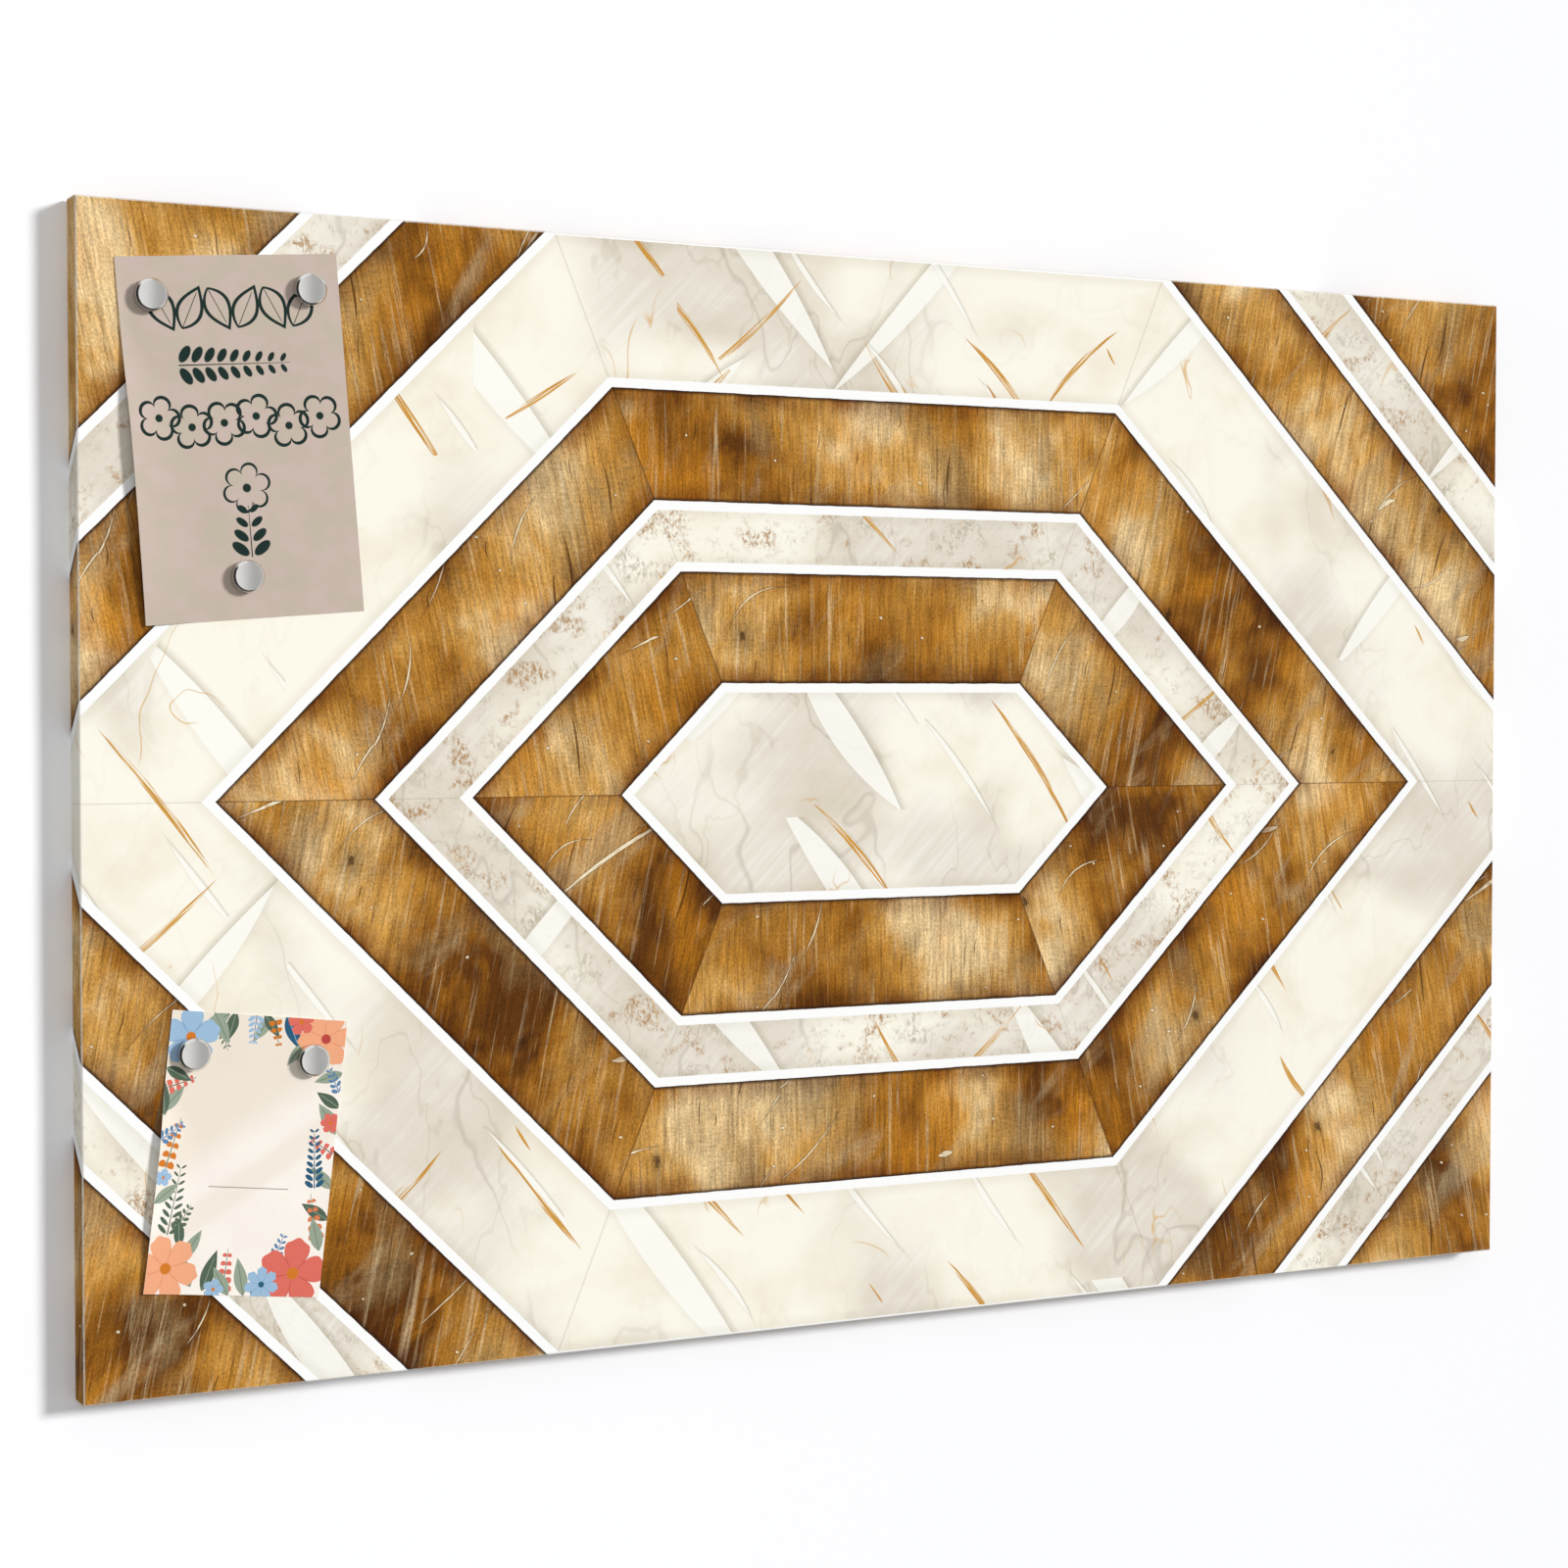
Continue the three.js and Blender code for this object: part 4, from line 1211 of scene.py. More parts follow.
def zinc_material():
    """Bright zinc plate with drawn lines, soft darker clouds and a dull bloom"""
    graph, finish = new_material("Zinc plate", {"Metallic": 1.0})
    place = object_millimetres(graph)
    metal = worked_metal(graph, place, 0.14, 9.0)
    colour = graph.mix(graph.between(metal["Cloud"], 0.35, 0.7), ink(214, 216, 220), ink(182, 184, 184))
    colour = graph.stained(colour, metal["Cloud"], 0.62, 0.74, 0.4, ink(196, 188, 164))
    rough = graph.between(metal["Lines"], 0.3, 0.7, 0.2, 0.36)
    rough = rough + graph.between(metal["Cloud"], 0.4, 0.7, 0, 0.12)
    return finish(colour, rough, metal["Lines"], 0.00003, 0.5)


HANGER_BEVEL = 0.16 * MM
# Corners of the CAD hanger that are this close are one
WELD_DISTANCE = 0.01 * MM


def hanger_mesh(node):
    """A merged copy of a CAD hanger with its punched edges rounded"""
    shape = bmesh.new()
    shape.from_mesh(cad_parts[node].data)
    bmesh.ops.remove_doubles(shape, verts=shape.verts, dist=WELD_DISTANCE)
    bmesh.ops.dissolve_limit(shape, angle_limit=math.radians(1), verts=shape.verts, edges=shape.edges)
    steep = math.radians(60)
    rims = [edge for edge in shape.edges if len(edge.link_faces) == 2 and edge.calc_face_angle() > steep]
    bmesh.ops.bevel(
        shape, geom=rims, offset=HANGER_BEVEL, segments=3, profile=0.5, affect="EDGES", clamp_overlap=True
    )
    return finished_mesh(node + "_plate", shape, 40)


def points_mesh(name, nodes):
    """One vertex at the middle of each screw's rear face"""
    mesh = bpy.data.meshes.new(name)
    places = []
    for node in nodes:
        low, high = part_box(node)
        places.append(((low.x + high.x) / 2, high.y, (low.z + high.z) / 2))
    mesh.from_pydata(places, [], [])
    return mesh


class BOARD_OT_hardware(bpy.types.Operator):
    """Drive the panel screws and mount the two keyhole hangers"""

    bl_idname = "board.hardware"
    bl_label = "Screws and hangers"

    def execute(self, context):
        settings = context.scene.board_hardware
        zinc = zinc_material()
        for node in ("left_hanger", "right_hanger"):
            mesh = hanger_mesh(node)
            mesh.materials.append(zinc)
            new_piece(node + "_plate", mesh, "board", "zinc_steel", node)
        tree = screw_tree()
        panel = [f"panel_screw_{number}" for number in range(1, 13)]
        hanger = [f"{side}_hanger_screw_{number}" for side in ("left", "right") for number in (1, 2)]
        for name, nodes, sunk, seed in (("panel_screw", panel, True, 3), ("hanger_screw", hanger, False, 8)):
            low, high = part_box(nodes[0])
            values = {
                "Pitch": settings.thread_pitch, "Thread": settings.thread_depth, "Facets": settings.facets,
                "Material": zinc, "Length": high.y - low.y, "Head": high.x - low.x, "Countersunk": sunk,
                "Seed": seed,
            }
            base = points_mesh(name + "_places", nodes)
            made_by_nodes(name + "s", base, tree, values, "board", "zinc_steel", *nodes)
        return {"FINISHED"}


# Cards

# The cards as they hang, in millimetres and degrees: their middle, size, turn, how far the left edge stands
# off, how wide it curls below the magnets and beside them, and how far down from the top it is held
CARDS = {
    "note_card": {
        "body": "upper_card", "slot": "note_paper", "x": -366.4, "z": 184.2, "width": 115, "height": 183,
        "tilt": 4.5, "lift": 5, "curl": 34, "held_curl": 6.5, "held_below_top": 31,
    },
    "invite_card": {
        "body": "lower_card", "slot": "invite_paper", "x": -366, "z": -180.2, "width": 92.5, "height": 143,
        "tilt": -6.5, "lift": 4, "curl": 24, "held_curl": 3.8, "held_below_top": 33,
    },
}
# How much of its lift the free edge keeps at the corners
CORNER_LIFT = 0.35
# The columns crowd towards the left edge, where the card curls
CARD_COLUMNS = 56
COLUMN_CROWDING = 1.7
CARD_ROWS = 72


def smoothstep(value, low, high):
    share = min(max((value - low) / (high - low), 0.0), 1.0)
    return share * share * (3 - 2 * share)


def card_lift(card, u, v):
    """How far the card stands off the board at u in from its left edge and v up from its lower edge"""
    release = smoothstep(v, card["height"] / 2, card["height"] - card["held_below_top"])
    curl = card["curl"] + (card["held_curl"] - card["curl"]) * release
    if u >= curl:
        return 0.0
    along = 1 - (1 - CORNER_LIFT) * (2 * v / card["height"] - 1) ** 2
    return card["lift"] * along * (curl / card["curl"]) * (1 - u / curl) ** 2


def card_mesh(node, card, thickness):
    """The card as a closed sheet: crowded columns over the curl, a printed front, plain edges and rear"""
    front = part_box("print_film")[0].y
    columns = [card["width"] * (step / CARD_COLUMNS) ** COLUMN_CROWDING for step in range(CARD_COLUMNS + 1)]
    rows = [card["height"] * step / CARD_ROWS for step in range(CARD_ROWS + 1)]
    turn = Matrix.Rotation(math.radians(-card["tilt"]), 3, "Y")
    middle = Vector((card["x"] * MM, front, card["z"] * MM))
    shape = bmesh.new()
    sheet = shape.loops.layers.uv.new("sheet")
    where = {}

    def corner(u, v, face):
        local = Vector((u - card["width"] / 2, face - card_lift(card, u, v), v - card["height"] / 2)) * MM
        vertex = shape.verts.new(middle + turn @ local)
        where[vertex] = (u * MM, v * MM)
        return vertex

    layers = [[[corner(u, v, face) for u in columns] for v in rows] for face in (0.0, -thickness / MM)]
    rear, face = layers
    for row in range(CARD_ROWS):
        for column in range(CARD_COLUMNS):
            square = ((row, column), (row, column + 1), (row + 1, column + 1), (row + 1, column))
            shape.faces.new([face[r][c] for r, c in square]).material_index = 0
            shape.faces.new([rear[r][c] for r, c in reversed(square)]).material_index = 1
    rim = [(0, c) for c in range(CARD_COLUMNS)]
    rim += [(r, CARD_COLUMNS) for r in range(CARD_ROWS)]
    rim += [(CARD_ROWS, c) for c in range(CARD_COLUMNS, 0, -1)]
    rim += [(r, 0) for r in range(CARD_ROWS, 0, -1)]
    for (r, c), (s, d) in zip(rim, rim[1:] + rim[:1]):
        shape.faces.new((rear[r][c], rear[s][d], face[s][d], face[r][c])).material_index = 1
    for polygon in shape.faces:
        for loop in polygon.loops:
            loop[sheet].uv = where[loop.vert]
    return finished_mesh(node + "_sheet", shape, 40)


SHAPES = {"leaf": leaf_group, "flower": flower_group, "sprig": sprig_group}


class Drawing:
    """Lays drawn shapes over a card's colour, one after another"""

    def __init__(self, graph, place, ground):
        self.graph = graph
        self.place = place
        self.colour = ground

    def lay(self, mask, colour, strength=1.0):
        share = mask if strength == 1.0 else mask * strength
        self.colour = self.graph.mix(share, self.colour, colour)

    def shape(self, name, x, y, degrees, **values):
        """What the group of a drawn leaf, flower or sprig puts out at a point"""
        place = {"Vector": self.place, "X": x, "Y": y, "Angle": math.radians(degrees)}
        return self.graph.group("Drawn " + name, SHAPES[name], **place, **values)

    def rule(self, x, y, length, width, colour):
        """A thin straight line to the right of a point"""
        graph = self.graph
        across, up, _ = graph.axes(self.place - (x + length / 2, y, 0.0))
        inside = graph.math("LESS_THAN", abs(across), length / 2)
        line = graph.between(abs(up), width / 2, width, 1, 0)
        self.lay(line * inside, colour)

    def leaf(self, x, y, degrees, length, width, colour):
        drawn = self.shape("leaf", x, y, degrees, Length=length, Width=width)
        self.lay(drawn["Blade"], colour)
        self.lay(drawn["Rib"], SECOND[colour], 0.8)

    def leaf_line(self, x, y, degrees, length, width, colour, line):
        drawn = self.shape("leaf", x, y, degrees, Length=length, Width=width, Line=line)
        self.lay(drawn["Outline"], colour)
        self.lay(drawn["Rib"], colour)

    def flower(self, x, y, degrees, radius, petals, colour, middle, notch=0.45):
        drawn = self.shape("flower", x, y, degrees, Radius=radius, Petals=petals, Notch=notch)
        self.lay(drawn["Petals"], colour)
        self.lay(drawn["Shade"] * drawn["Petals"], SECOND[colour], 0.55)
        self.lay(drawn["Middle"], middle)

    def flower_line(self, x, y, degrees, radius, petals, colour, line):
        drawn = self.shape(
            "flower", x, y, degrees, Radius=radius, Petals=petals, Notch=0.4, Ripple=0.0, Line=line
        )
        self.lay(drawn["Outline"], colour)
        self.lay(drawn["Middle"], colour)

    def sprig(self, x, y, degrees, length, colour, step=4.0, leaflet=5.0, plump=0.35, lean=0.9, stem=None):
        drawn = self.shape(
            "sprig", x, y, degrees, Length=length, Step=step, Leaflet=leaflet, Plump=plump, Lean=lean
        )
        self.lay(drawn["Stem"], stem or colour)
        self.lay(drawn["Leaflets"], colour)

    def berries(self, x, y, degrees, length, colour, step, size, stem):
        self.sprig(x, y, degrees, length, colour, step=step, leaflet=size, plump=0.95, lean=1.05, stem=stem)


CORAL = ink(224, 112, 98)
CORAL_DEEP = ink(188, 72, 66)
PEACH = ink(243, 172, 132)
PEACH_DEEP = ink(222, 128, 84)
SKY = ink(158, 190, 218)
SKY_DEEP = ink(92, 132, 172)
SAGE = ink(152, 166, 146)
SAGE_DEEP = ink(96, 112, 92)
FERN = ink(84, 102, 84)
TEAL = ink(44, 92, 122)
AMBER = ink(212, 122, 40)
# The colour of a leaf's rib or of the shade on a petal, for each leaf's or flower's own colour
SECOND = {SAGE: SAGE_DEEP, FERN: SAGE, TEAL: SKY, SKY: SKY_DEEP, CORAL: CORAL_DEEP, PEACH: PEACH_DEEP}


def draw_greeting(drawing):
    """A loose border of flowers, leaves and berries that leaves the middle bare but for a thin rule"""
    drawing.rule(28, 55, 42, 0.3, ink(150, 136, 134))
    # Left side, from the lower corner up
    drawing.sprig(9, 30, 84, 34, FERN, step=4.2, leaflet=7.5, plump=0.3)
    drawing.sprig(13, 32, 62, 15, SAGE_DEEP, step=3.2, leaflet=4.8, plump=0.5)
    drawing.berries(4, 64, 76, 26, AMBER, 5.2, 4.6, FERN)
    drawing.flower(3.5, 59, 10, 4.6, 5, SKY, AMBER)
    drawing.leaf(0, 92, 52, 17, 6.5, SAGE)
    drawing.leaf(1, 90, 96, 19, 6, FERN)
    drawing.berries(2, 104, 22, 15, CORAL, 4.0, 3.8, SAGE_DEEP)
    drawing.leaf(0, 46, 40, 16, 6, SAGE)
    drawing.sprig(0, 78, 34, 14, SKY_DEEP, step=3.2, leaflet=4.6, plump=0.5)
    drawing.leaf(0, 114, 336, 15, 6, FERN)
    # Right side
    drawing.leaf(93, 40, 152, 17, 6.5, FERN)
    drawing.berries(92, 74, 150, 16, CORAL, 4.2, 3.8, SAGE_DEEP)
    drawing.leaf(93, 116, 200, 16, 6, SAGE)
    drawing.leaf(94, 56, 140, 17, 6.5, SAGE)
    drawing.sprig(84, 56, 96, 30, TEAL, step=3.6, leaflet=6.2, plump=0.42)
    drawing.berries(88, 30, 104, 24, PEACH_DEEP, 4.8, 4.4, SAGE_DEEP)
    drawing.leaf(94, 84, 128, 20, 8, SAGE)
    drawing.leaf(93, 98, 150, 15, 6, FERN)
    drawing.flower(89, 90, 0, 5.4, 6, CORAL, AMBER)
    drawing.sprig(92, 106, 120, 14, SKY_DEEP, step=3.0, leaflet=4.2, plump=0.5)
    # Top
    drawing.sprig(24, 141, 292, 18, FERN, step=3.0, leaflet=4.6, plump=0.32)
    drawing.leaf(30, 143, 212, 17, 6.5, SAGE)
    drawing.leaf(33, 144, 260, 15, 6, FERN)
    drawing.leaf(52, 143, 238, 16, 6, SAGE)
    drawing.leaf(60, 144, 296, 19, 7.5, TEAL)
    drawing.leaf(70, 130, 238, 14, 5, SAGE)
    drawing.leaf(22, 143, 300, 18, 7, SAGE)
    drawing.leaf(48, 144, 308, 15, 5.5, FERN)
    drawing.sprig(44, 143, 268, 15, SKY, step=3.2, leaflet=5, plump=0.45, stem=SKY_DEEP)
    drawing.berries(54, 141, 284, 13, AMBER, 4.0, 3.6, FERN)
    drawing.flower(11, 130, 20, 15, 5, SKY, AMBER)
    drawing.flower(82, 133, 8, 15, 6, PEACH, CORAL_DEEP)
    drawing.flower(68, 141, 30, 7, 5, CORAL, AMBER)
    # Bottom
    drawing.leaf(19, 18, 62, 17, 6, SAGE)
    drawing.leaf(24, 4, 118, 21, 8, SAGE)
    drawing.leaf(30, 2, 74, 22, 7, FERN)
    drawing.leaf(52, 0, 104, 20, 7, SAGE)
    drawing.leaf(56, 0, 62, 17, 6, TEAL)
    drawing.sprig(41, 2, 88, 22, CORAL, step=4.4, leaflet=4.6, plump=0.9, lean=1.0, stem=FERN)
    drawing.sprig(66, 18, 72, 15, SKY_DEEP, step=3.2, leaflet=4.6, plump=0.45)
    drawing.leaf(44, 0, 122, 17, 6.5, SAGE)
    drawing.leaf(90, 24, 108, 18, 7, SAGE)
    drawing.leaf(16, 24, 96, 15, 5.5, FERN)
    drawing.flower(10, 13, 48, 17, 6, PEACH, AMBER)
    drawing.flower(77, 12, 12, 18, 5, CORAL, AMBER, notch=0.5)
    drawing.flower(61, 6, 40, 9, 7, SKY, TEAL)
    drawing.flower(36, 3, 5, 5.4, 5, SKY, AMBER)


def draw_note(drawing, line):
    """A bold drawing in one ink: outlined leaves, a full branch, a row of flowers and one tall flower"""
    for index in range(6):
        rising = index % 2
        start = 146.5 if rising else 167
        drawing.leaf_line(17 + 14.4 * index, start, 64 if rising else -64, 24, 14, line, 1.8)
    drawing.sprig(28, 128.5, 0, 58, line, step=6.6, leaflet=11, plump=0.46, lean=1.0)
    for index in range(6):
        height = 99.5 + 3 * math.cos(index * 2.3)
        drawing.flower_line(15.5 + 16.8 * index, height, 24 * index, 11.6, 5, line, 1.8)
    drawing.sprig(58, 31, 90, 26, line, step=7.4, leaflet=12, plump=0.44)
    drawing.flower_line(58, 66, 18, 13, 6, line, 1.4)


def note_stock(graph, place, colour):
    """Recycled stock: soft pinkish and greenish patches"""
    patches = graph.noise(place, (17, 13), detail=2, roughness=0.5)
    colour = graph.stained(colour, patches, 0.5, 0.62, 0.55, ink(207, 186, 180))
    return graph.mix(graph.between(patches, 0.46, 0.36, 0, 0.6), colour, ink(194, 185, 166))


def greeting_stock_and_shade(graph, place, colour):
    """Cream stock with painted shade: darker in broad slanting tones towards the top, and along one slanting
    band
    """
    x, y, _ = graph.axes(place)
    # Painted shade: the card darkens towards the top and along one slanting band
    slanting = y + x * -0.75
    upper = graph.eased(slanting, 38, 66, 0, 0.75)
    band = graph.eased(abs(slanting - 22), 4, 12, 0.4, 0)
    return graph.mix(graph.math("MAXIMUM", upper, band), colour, ink(238, 226, 208))


def card_front_material(name, ground, stain, draw, *extra):
    """Matt card stock with what is printed on it"""
    graph, finish = new_material(name, {"Specular IOR Level": 0.18})
    place = map_millimetres(graph, "sheet")
    stock = paper(graph, place)
    light = tuple(min(channel * 1.02, 1.0) for channel in ground[:3]) + (1.0,)
    dark = tuple(channel * 0.95 for channel in ground[:3]) + (1.0,)
    plain = graph.mix(graph.between(stock["Tone"], 0.35, 0.65), dark, light)
    drawing = Drawing(graph, place, stain(graph, place, plain))
    draw(drawing, *extra)
    # Ink sinks into the stock unevenly
    inked = graph.mix(graph.between(stock["Tooth"], 0.55, 0.75, 0, 0.1), drawing.colour, light)
    return finish(inked, graph.between(stock["Tone"], 0.3, 0.7, 0.68, 0.84), stock["Tooth"], 0.00004, 0.5)


def card_back_material(name, ground):
    """The card's unprinted rear and its cut edges"""
    graph, finish = new_material(name, {"Specular IOR Level": 0.18})
    stock = paper(graph, map_millimetres(graph, "sheet"))
    pale = tuple(channel * 0.45 + 0.5 for channel in ground[:3]) + (1.0,)
    dull = tuple(channel * 0.9 for channel in pale[:3]) + (1.0,)
    colour = graph.mix(graph.between(stock["Tone"], 0.35, 0.65), dull, pale)
    return finish(colour, graph.between(stock["Tooth"], 0.3, 0.7, 0.74, 0.9), stock["Tooth"], 0.00004, 0.5)


class BOARD_OT_cards(bpy.types.Operator):
    """Hang the two paper cards"""

    bl_idname = "board.cards"
    bl_label = "Paper cards"

    def execute(self, context):
        settings = context.scene.board_cards
        note = tuple(settings.note_ground)
        greeting = tuple(settings.greeting_ground)
        note_ink = tuple(settings.note_ink)
        fronts = (
            card_front_material("Note card front", note, note_stock, draw_note, note_ink),
            card_front_material("Greeting card front", greeting, greeting_stock_and_shade, draw_greeting),
        )
        for (node, card), ground, front in zip(CARDS.items(), (note, greeting), fronts):
            mesh = card_mesh(node, card, settings.thickness)
            mesh.materials.append(front)
            mesh.materials.append(card_back_material(node.replace("_", " ").capitalize() + " rear", ground))
            new_piece(node + "_sheet", mesh, card["body"], card["slot"], node)
        return {"FINISHED"}


# Magnets

# The cap's profile in millimetres, from the middle of its face round to the middle of its bore: radius, then
# distance in front of the card
CAP_RADIUS = 8.2
CAP_HEIGHT = 6.0
CAP_BEVEL = 1.1
CAP_FOOT_BEVEL = 0.3
BORE_RADIUS = 6.65
BORE_DEPTH = 3.25
CROWN_STEPS = 12
DISC_EDGE = 0.3 * MM
DISC_EDGE_STEPS = 4


def cap_profile(base, edge, crown):
    """Points (radius, depth) of the cap, its face crowned and its edges rounded"""
    rim = CAP_HEIGHT - crown / MM
    corners = [
        (CAP_RADIUS - CAP_BEVEL, rim),
        (CAP_RADIUS, rim - CAP_BEVEL),
        (CAP_RADIUS, CAP_FOOT_BEVEL),
        (CAP_RADIUS - CAP_FOOT_BEVEL, 0.0),
        (BORE_RADIUS, 0.0),
        (BORE_RADIUS, BORE_DEPTH),
        (0.0, BORE_DEPTH),
    ]
    outline = rounded([(0.0, rim)] + corners, edge / MM)
    flat = outline[1][0]
    steps = [step / CROWN_STEPS for step in range(CROWN_STEPS)]
    face = [(flat * share, CAP_HEIGHT - crown / MM * share**2) for share in steps]
    return [(radius * MM, base - height * MM) for radius, height in face + [tuple(p) for p in outline[1:]]]


def satin_steel_material(steel):
    """Turned steel: fine rings from the tool, and a painted highlight round the edge of its face"""
    graph, finish = new_material("Turned steel", {"Metallic": 1.0, "Anisotropic": 0.35})
    place = map_millimetres(graph, "turned")
    x, y, _ = graph.axes(place)
    radius = graph.vector("LENGTH", place)
    turn = graph.math("ARCTAN2", y, x)
    tool = graph.noise(graph.pack(radius * 14.0, turn * 0.35), detail=3, roughness=0.7)
    metal = worked_metal(graph, place, 0.3, 0.3)
    light = tuple(min(channel * 1.02, 1.0) for channel in steel[:3]) + (1.0,)
    dark = tuple(channel * 0.98 for channel in steel[:3]) + (1.0,)
    colour = graph.mix(graph.between(metal["Cloud"], 0.35, 0.7), light, dark)
    # Painted highlight: the ring where the face meets its bevel is whitened in colour, and also polished a
    # little smoother
    scuff_and_highlight = graph.between(abs(radius - (CAP_RADIUS - CAP_BEVEL)), 0.04, 0.16, 1, 0)
    colour = graph.mix(scuff_and_highlight * 0.6, colour, ink(244, 243, 240))
    rough = graph.between(tool, 0.3, 0.7, 0.12, 0.18) + scuff_and_highlight * -0.04
    return finish(colour, rough, tool, 0.000002, 0.25)


def nickel_material():
    """Nickel plate on the sintered magnet disc, a little grainy"""
    graph, finish = new_material("Nickel plate", {"Metallic": 1.0})
    place = object_millimetres(graph)
    metal = worked_metal(graph, place, 0.5, 0.5)
    colour = graph.mix(graph.between(metal["Cloud"], 0.35, 0.7), ink(206, 202, 194), ink(178, 174, 166))
    return finish(colour, graph.between(metal["Lines"], 0.3, 0.7, 0.12, 0.26), metal["Lines"], 0.00002, 0.3)


class BOARD_OT_magnets(bpy.types.Operator):
    """Turn the caps of the five magnets and press in their discs"""

    bl_idname = "board.magnets"
    bl_label = "Magnets"

    def execute(self, context):
        settings = context.scene.board_magnets
        steel = satin_steel_material(tuple(settings.steel))
        nickel = nickel_material()
        for number in range(1, 6):
            body = f"magnet_{number}"
            low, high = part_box(body + "_cap")
            centre = ((low.x + high.x) / 2, (low.z + high.z) / 2)
            profile = cap_profile(high.y, settings.edge, settings.crown)
            mesh = turned_mesh(body + "_turned_cap", profile, settings.segments, centre)
            turned = mesh.uv_layers.new(name="turned")
            for loop in mesh.loops:
                place = mesh.vertices[loop.vertex_index].co
                turned.data[loop.index].uv = (place.x - centre[0], place.z - centre[1])
            mesh.materials.append(steel)
            new_piece(body + "_turned_cap", mesh, body, "satin_steel", body + "_cap")
            low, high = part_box(body + "_disc")
            radius = (high.x - low.x) / 2
            outline = [(0.0, low.y), (radius, low.y), (radius, high.y), (0.0, high.y)]
            disc = rounded(outline, DISC_EDGE, DISC_EDGE_STEPS)
            mesh = turned_mesh(body + "_plated_disc", disc, settings.segments, centre)
            mesh.materials.append(nickel)
            new_piece(body + "_plated_disc", mesh, body, "nickel", body + "_disc")
        return {"FINISHED"}


# Stage

# The camera, fitted to the photo: place in metres, turn in degrees, focal length and sensor in millimetres
CAMERA_PLACE = (-0.8091, -1.4677, 0.0542)
CAMERA_TURN = (88.2632, 0.0045, -27.3829)
CAMERA_LENS = 67.557
CAMERA_SENSOR = 36.0
# Lamps: name, kind, place, the setting that holds the power, and the lamp's own shape. All aim at the middle
LAMPS = (
    ("key", "SUN", (1.9, -2.0, 0.84), "key_strength", {"angle": math.radians(12)}),
    ("fill", "AREA", (-0.5, -2.7, 0.5), "fill_power", {"size": 2.2}),
    ("side", "AREA", (-2.6, -0.25, 0.2), "side_power", {"size": 1.2}),
    ("rear", "AREA", (0.4, 2.7, 0.9), "rear_power", {"size": 2.2}),
)
# The wall's half width, and how far behind the board it stands so that the rear face stays clear of it
WALL_REACH = 60.0
WALL_DEPTH = 1.0 * MM


def wall_material():
    """Matt white wall that only the camera sees, and only from the front"""
    material = bpy.data.materials.new("Wall")
    graph = cleared_graph(material)
    diffuse = graph.made("ShaderNodeBsdfDiffuse", {"Color": (0.92, 0.925, 0.945, 1.0)})
    glow = graph.made("ShaderNodeEmission", {"Color": WHITE, "Strength": 0.09})
    lit = graph.made("ShaderNodeAddShader", {0: diffuse, 1: glow})
    clear = graph.made("ShaderNodeBsdfTransparent")
    camera_ray = graph.made("ShaderNodeLightPath", output="Is Camera Ray")
    facing = 1.0 - graph.made("ShaderNodeNewGeometry", output="Backfacing")
    shown = graph.made("ShaderNodeMixShader", {0: camera_ray * facing, 1: clear, 2: lit})
    graph.node("ShaderNodeOutputMaterial", {"Surface": shown})
    return material


def build_wall():
    mesh = bpy.data.meshes.new("wall")
    corners = [(x * WALL_REACH, WALL_DEPTH, z * WALL_REACH) for x, z in ((-1, -1), (1, -1), (1, 1), (-1, 1))]
    mesh.from_pydata(corners, [], [(0, 1, 2, 3)])
    mesh.materials.append(wall_material())
    wall = bpy.data.objects.new("wall", mesh)
    bpy.context.scene.collection.objects.link(wall)


def build_sky(strength):
    """Even light. The camera sees white, and shiny surfaces a bright room, dark to the left and below"""
    world = bpy.data.worlds.new("Room")
    bpy.context.scene.world = world
    graph = cleared_graph(world)
    rays = graph.all_made("ShaderNodeLightPath")
    shiny = graph.math("MAXIMUM", rays["Is Glossy Ray"], rays["Is Transmission Ray"])
    sideways, inwards, upwards = graph.axes(graph.made("ShaderNodeTexCoord", output="Generated"))
    front = graph.eased(sideways, 0.14, 0.36, 1.0, 0.5)
    right = graph.eased(sideways, 0.4, 0.62, 0.0, 0.5)
    lit = front + right
    left = graph.eased(sideways, -0.72, -0.5, 0.04, 1.0)
    below = graph.eased(upwards, -0.8, -0.5, 0.1, 1.0)
    # The board's left side mirrors the part of the wall that lies in its own shade
    near_shade = graph.eased(abs(sideways + 0.26), 0.24, 0.4, 0.06, 1.0)
    shade = graph.math("MAXIMUM", near_shade, graph.eased(inwards, 0.2, 0.5, 1.0, 0.0))
    mirrored = lit * shade * (left * below)
    level = strength + shiny * (mirrored - strength)
    seen = level + rays["Is Camera Ray"] * (1.0 - level)
    background = graph.made("ShaderNodeBackground", {"Color": WHITE, "Strength": seen})
    graph.node("ShaderNodeOutputWorld", {"Surface": background})


def add_lamp(name, kind, place, power, shape):
    lamp = bpy.data.lights.new(name, kind)
    lamp.energy = power
    for setting, value in shape.items():
        setattr(lamp, setting, value)
    holder = bpy.data.objects.new(name, lamp)
    holder.location = place
    holder.rotation_euler = (-Vector(place)).to_track_quat("-Z", "Y").to_euler()
    # Shiny surfaces mirror the even sky, not the lamps
    holder.visible_glossy = False
    bpy.context.scene.collection.objects.link(holder)


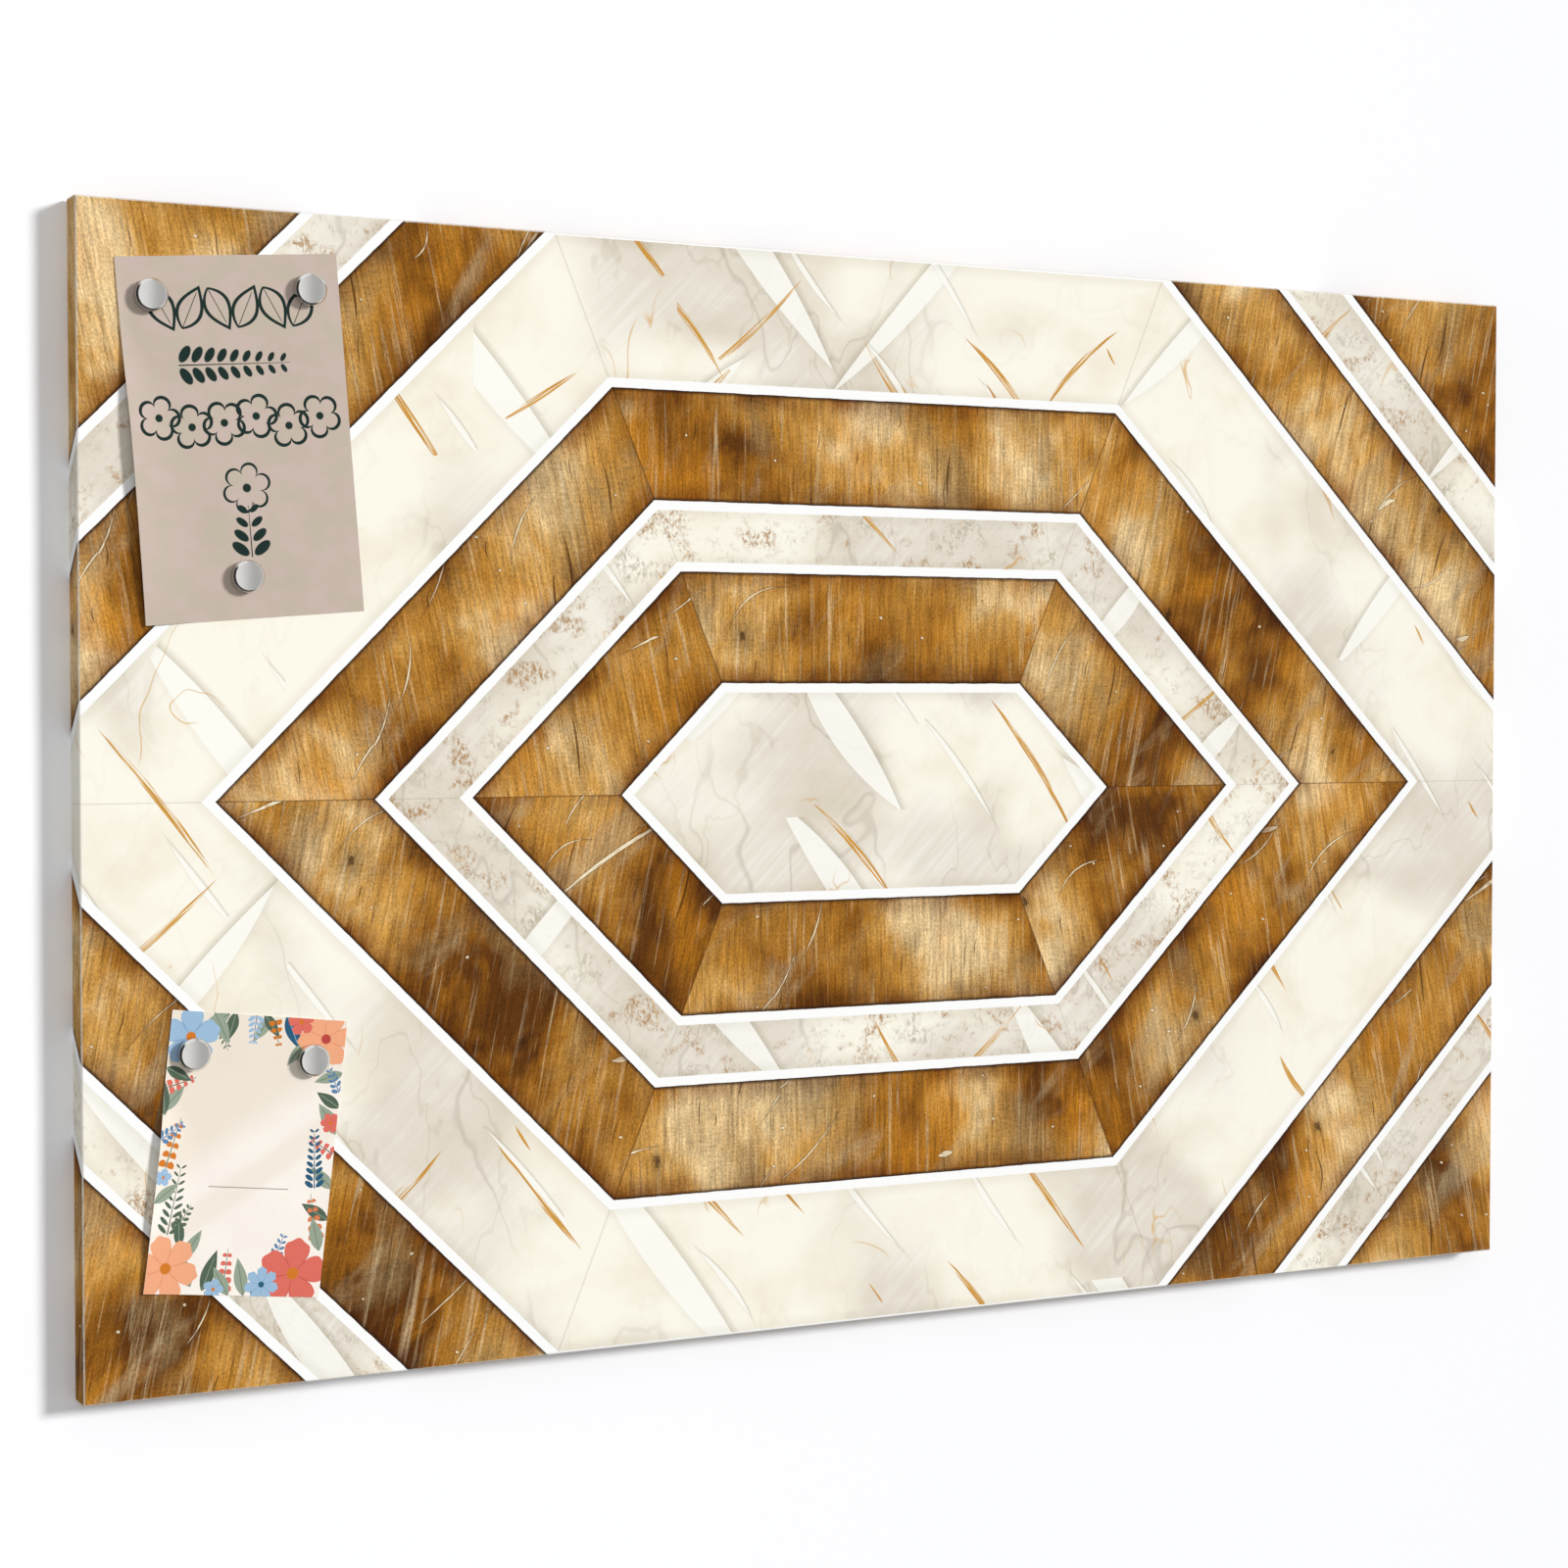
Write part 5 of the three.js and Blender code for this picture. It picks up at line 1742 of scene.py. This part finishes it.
def build_camera():
    camera = bpy.data.cameras.new("Camera")
    camera.lens = CAMERA_LENS
    camera.sensor_width = CAMERA_SENSOR
    holder = bpy.data.objects.new("Camera", camera)
    holder.location = CAMERA_PLACE
    holder.rotation_euler = [math.radians(angle) for angle in CAMERA_TURN]
    bpy.context.scene.collection.objects.link(holder)
    bpy.context.scene.camera = holder


class BOARD_OT_stage(bpy.types.Operator):
    """Set up the wall, the lamps and the camera"""

    bl_idname = "board.stage"
    bl_label = "Wall, lamps and camera"

    def execute(self, context):
        settings = context.scene.board_stage
        build_wall()
        build_sky(settings.sky)
        for name, kind, place, power, shape in LAMPS:
            add_lamp(name, kind, place, getattr(settings, power), shape)
        build_camera()
        context.scene.view_settings.view_transform = "Standard"
        return {"FINISHED"}


# Panel and registration


class BOARD_PT_panel(bpy.types.Panel):
    """Lists the board's settings and the buttons that build it"""

    bl_idname = "BOARD_PT_panel"
    bl_label = "Magnetic wall board"
    bl_space_type = "VIEW_3D"
    bl_region_type = "UI"
    bl_category = "Wall board"

    def draw(self, context):
        column = self.layout.column()
        for operator in OPERATORS:
            column.operator(operator.bl_idname)
        for name, group in SETTINGS.items():
            box = self.layout.box()
            box.label(text=group.__doc__)
            for setting in group.__annotations__:
                box.prop(getattr(context.scene, name), setting)


OPERATORS = (
    BOARD_OT_stage,
    BOARD_OT_film,
    BOARD_OT_shell,
    BOARD_OT_core,
    BOARD_OT_hardware,
    BOARD_OT_cards,
    BOARD_OT_magnets,
)
CLASSES = (*SETTINGS.values(), *OPERATORS, BOARD_PT_panel)


def register():
    for kind in CLASSES:
        bpy.utils.register_class(kind)
    for name, group in SETTINGS.items():
        setattr(bpy.types.Scene, name, PointerProperty(type=group))


def unregister():
    for name in SETTINGS:
        delattr(bpy.types.Scene, name)
    for kind in reversed(CLASSES):
        bpy.utils.unregister_class(kind)


def main():
    register()
    bpy.ops.board.stage()
    bpy.ops.board.film()
    bpy.ops.board.shell()
    bpy.ops.board.core()
    bpy.ops.board.hardware()
    bpy.ops.board.cards()
    bpy.ops.board.magnets()


if __name__ == "__main__":
    main()
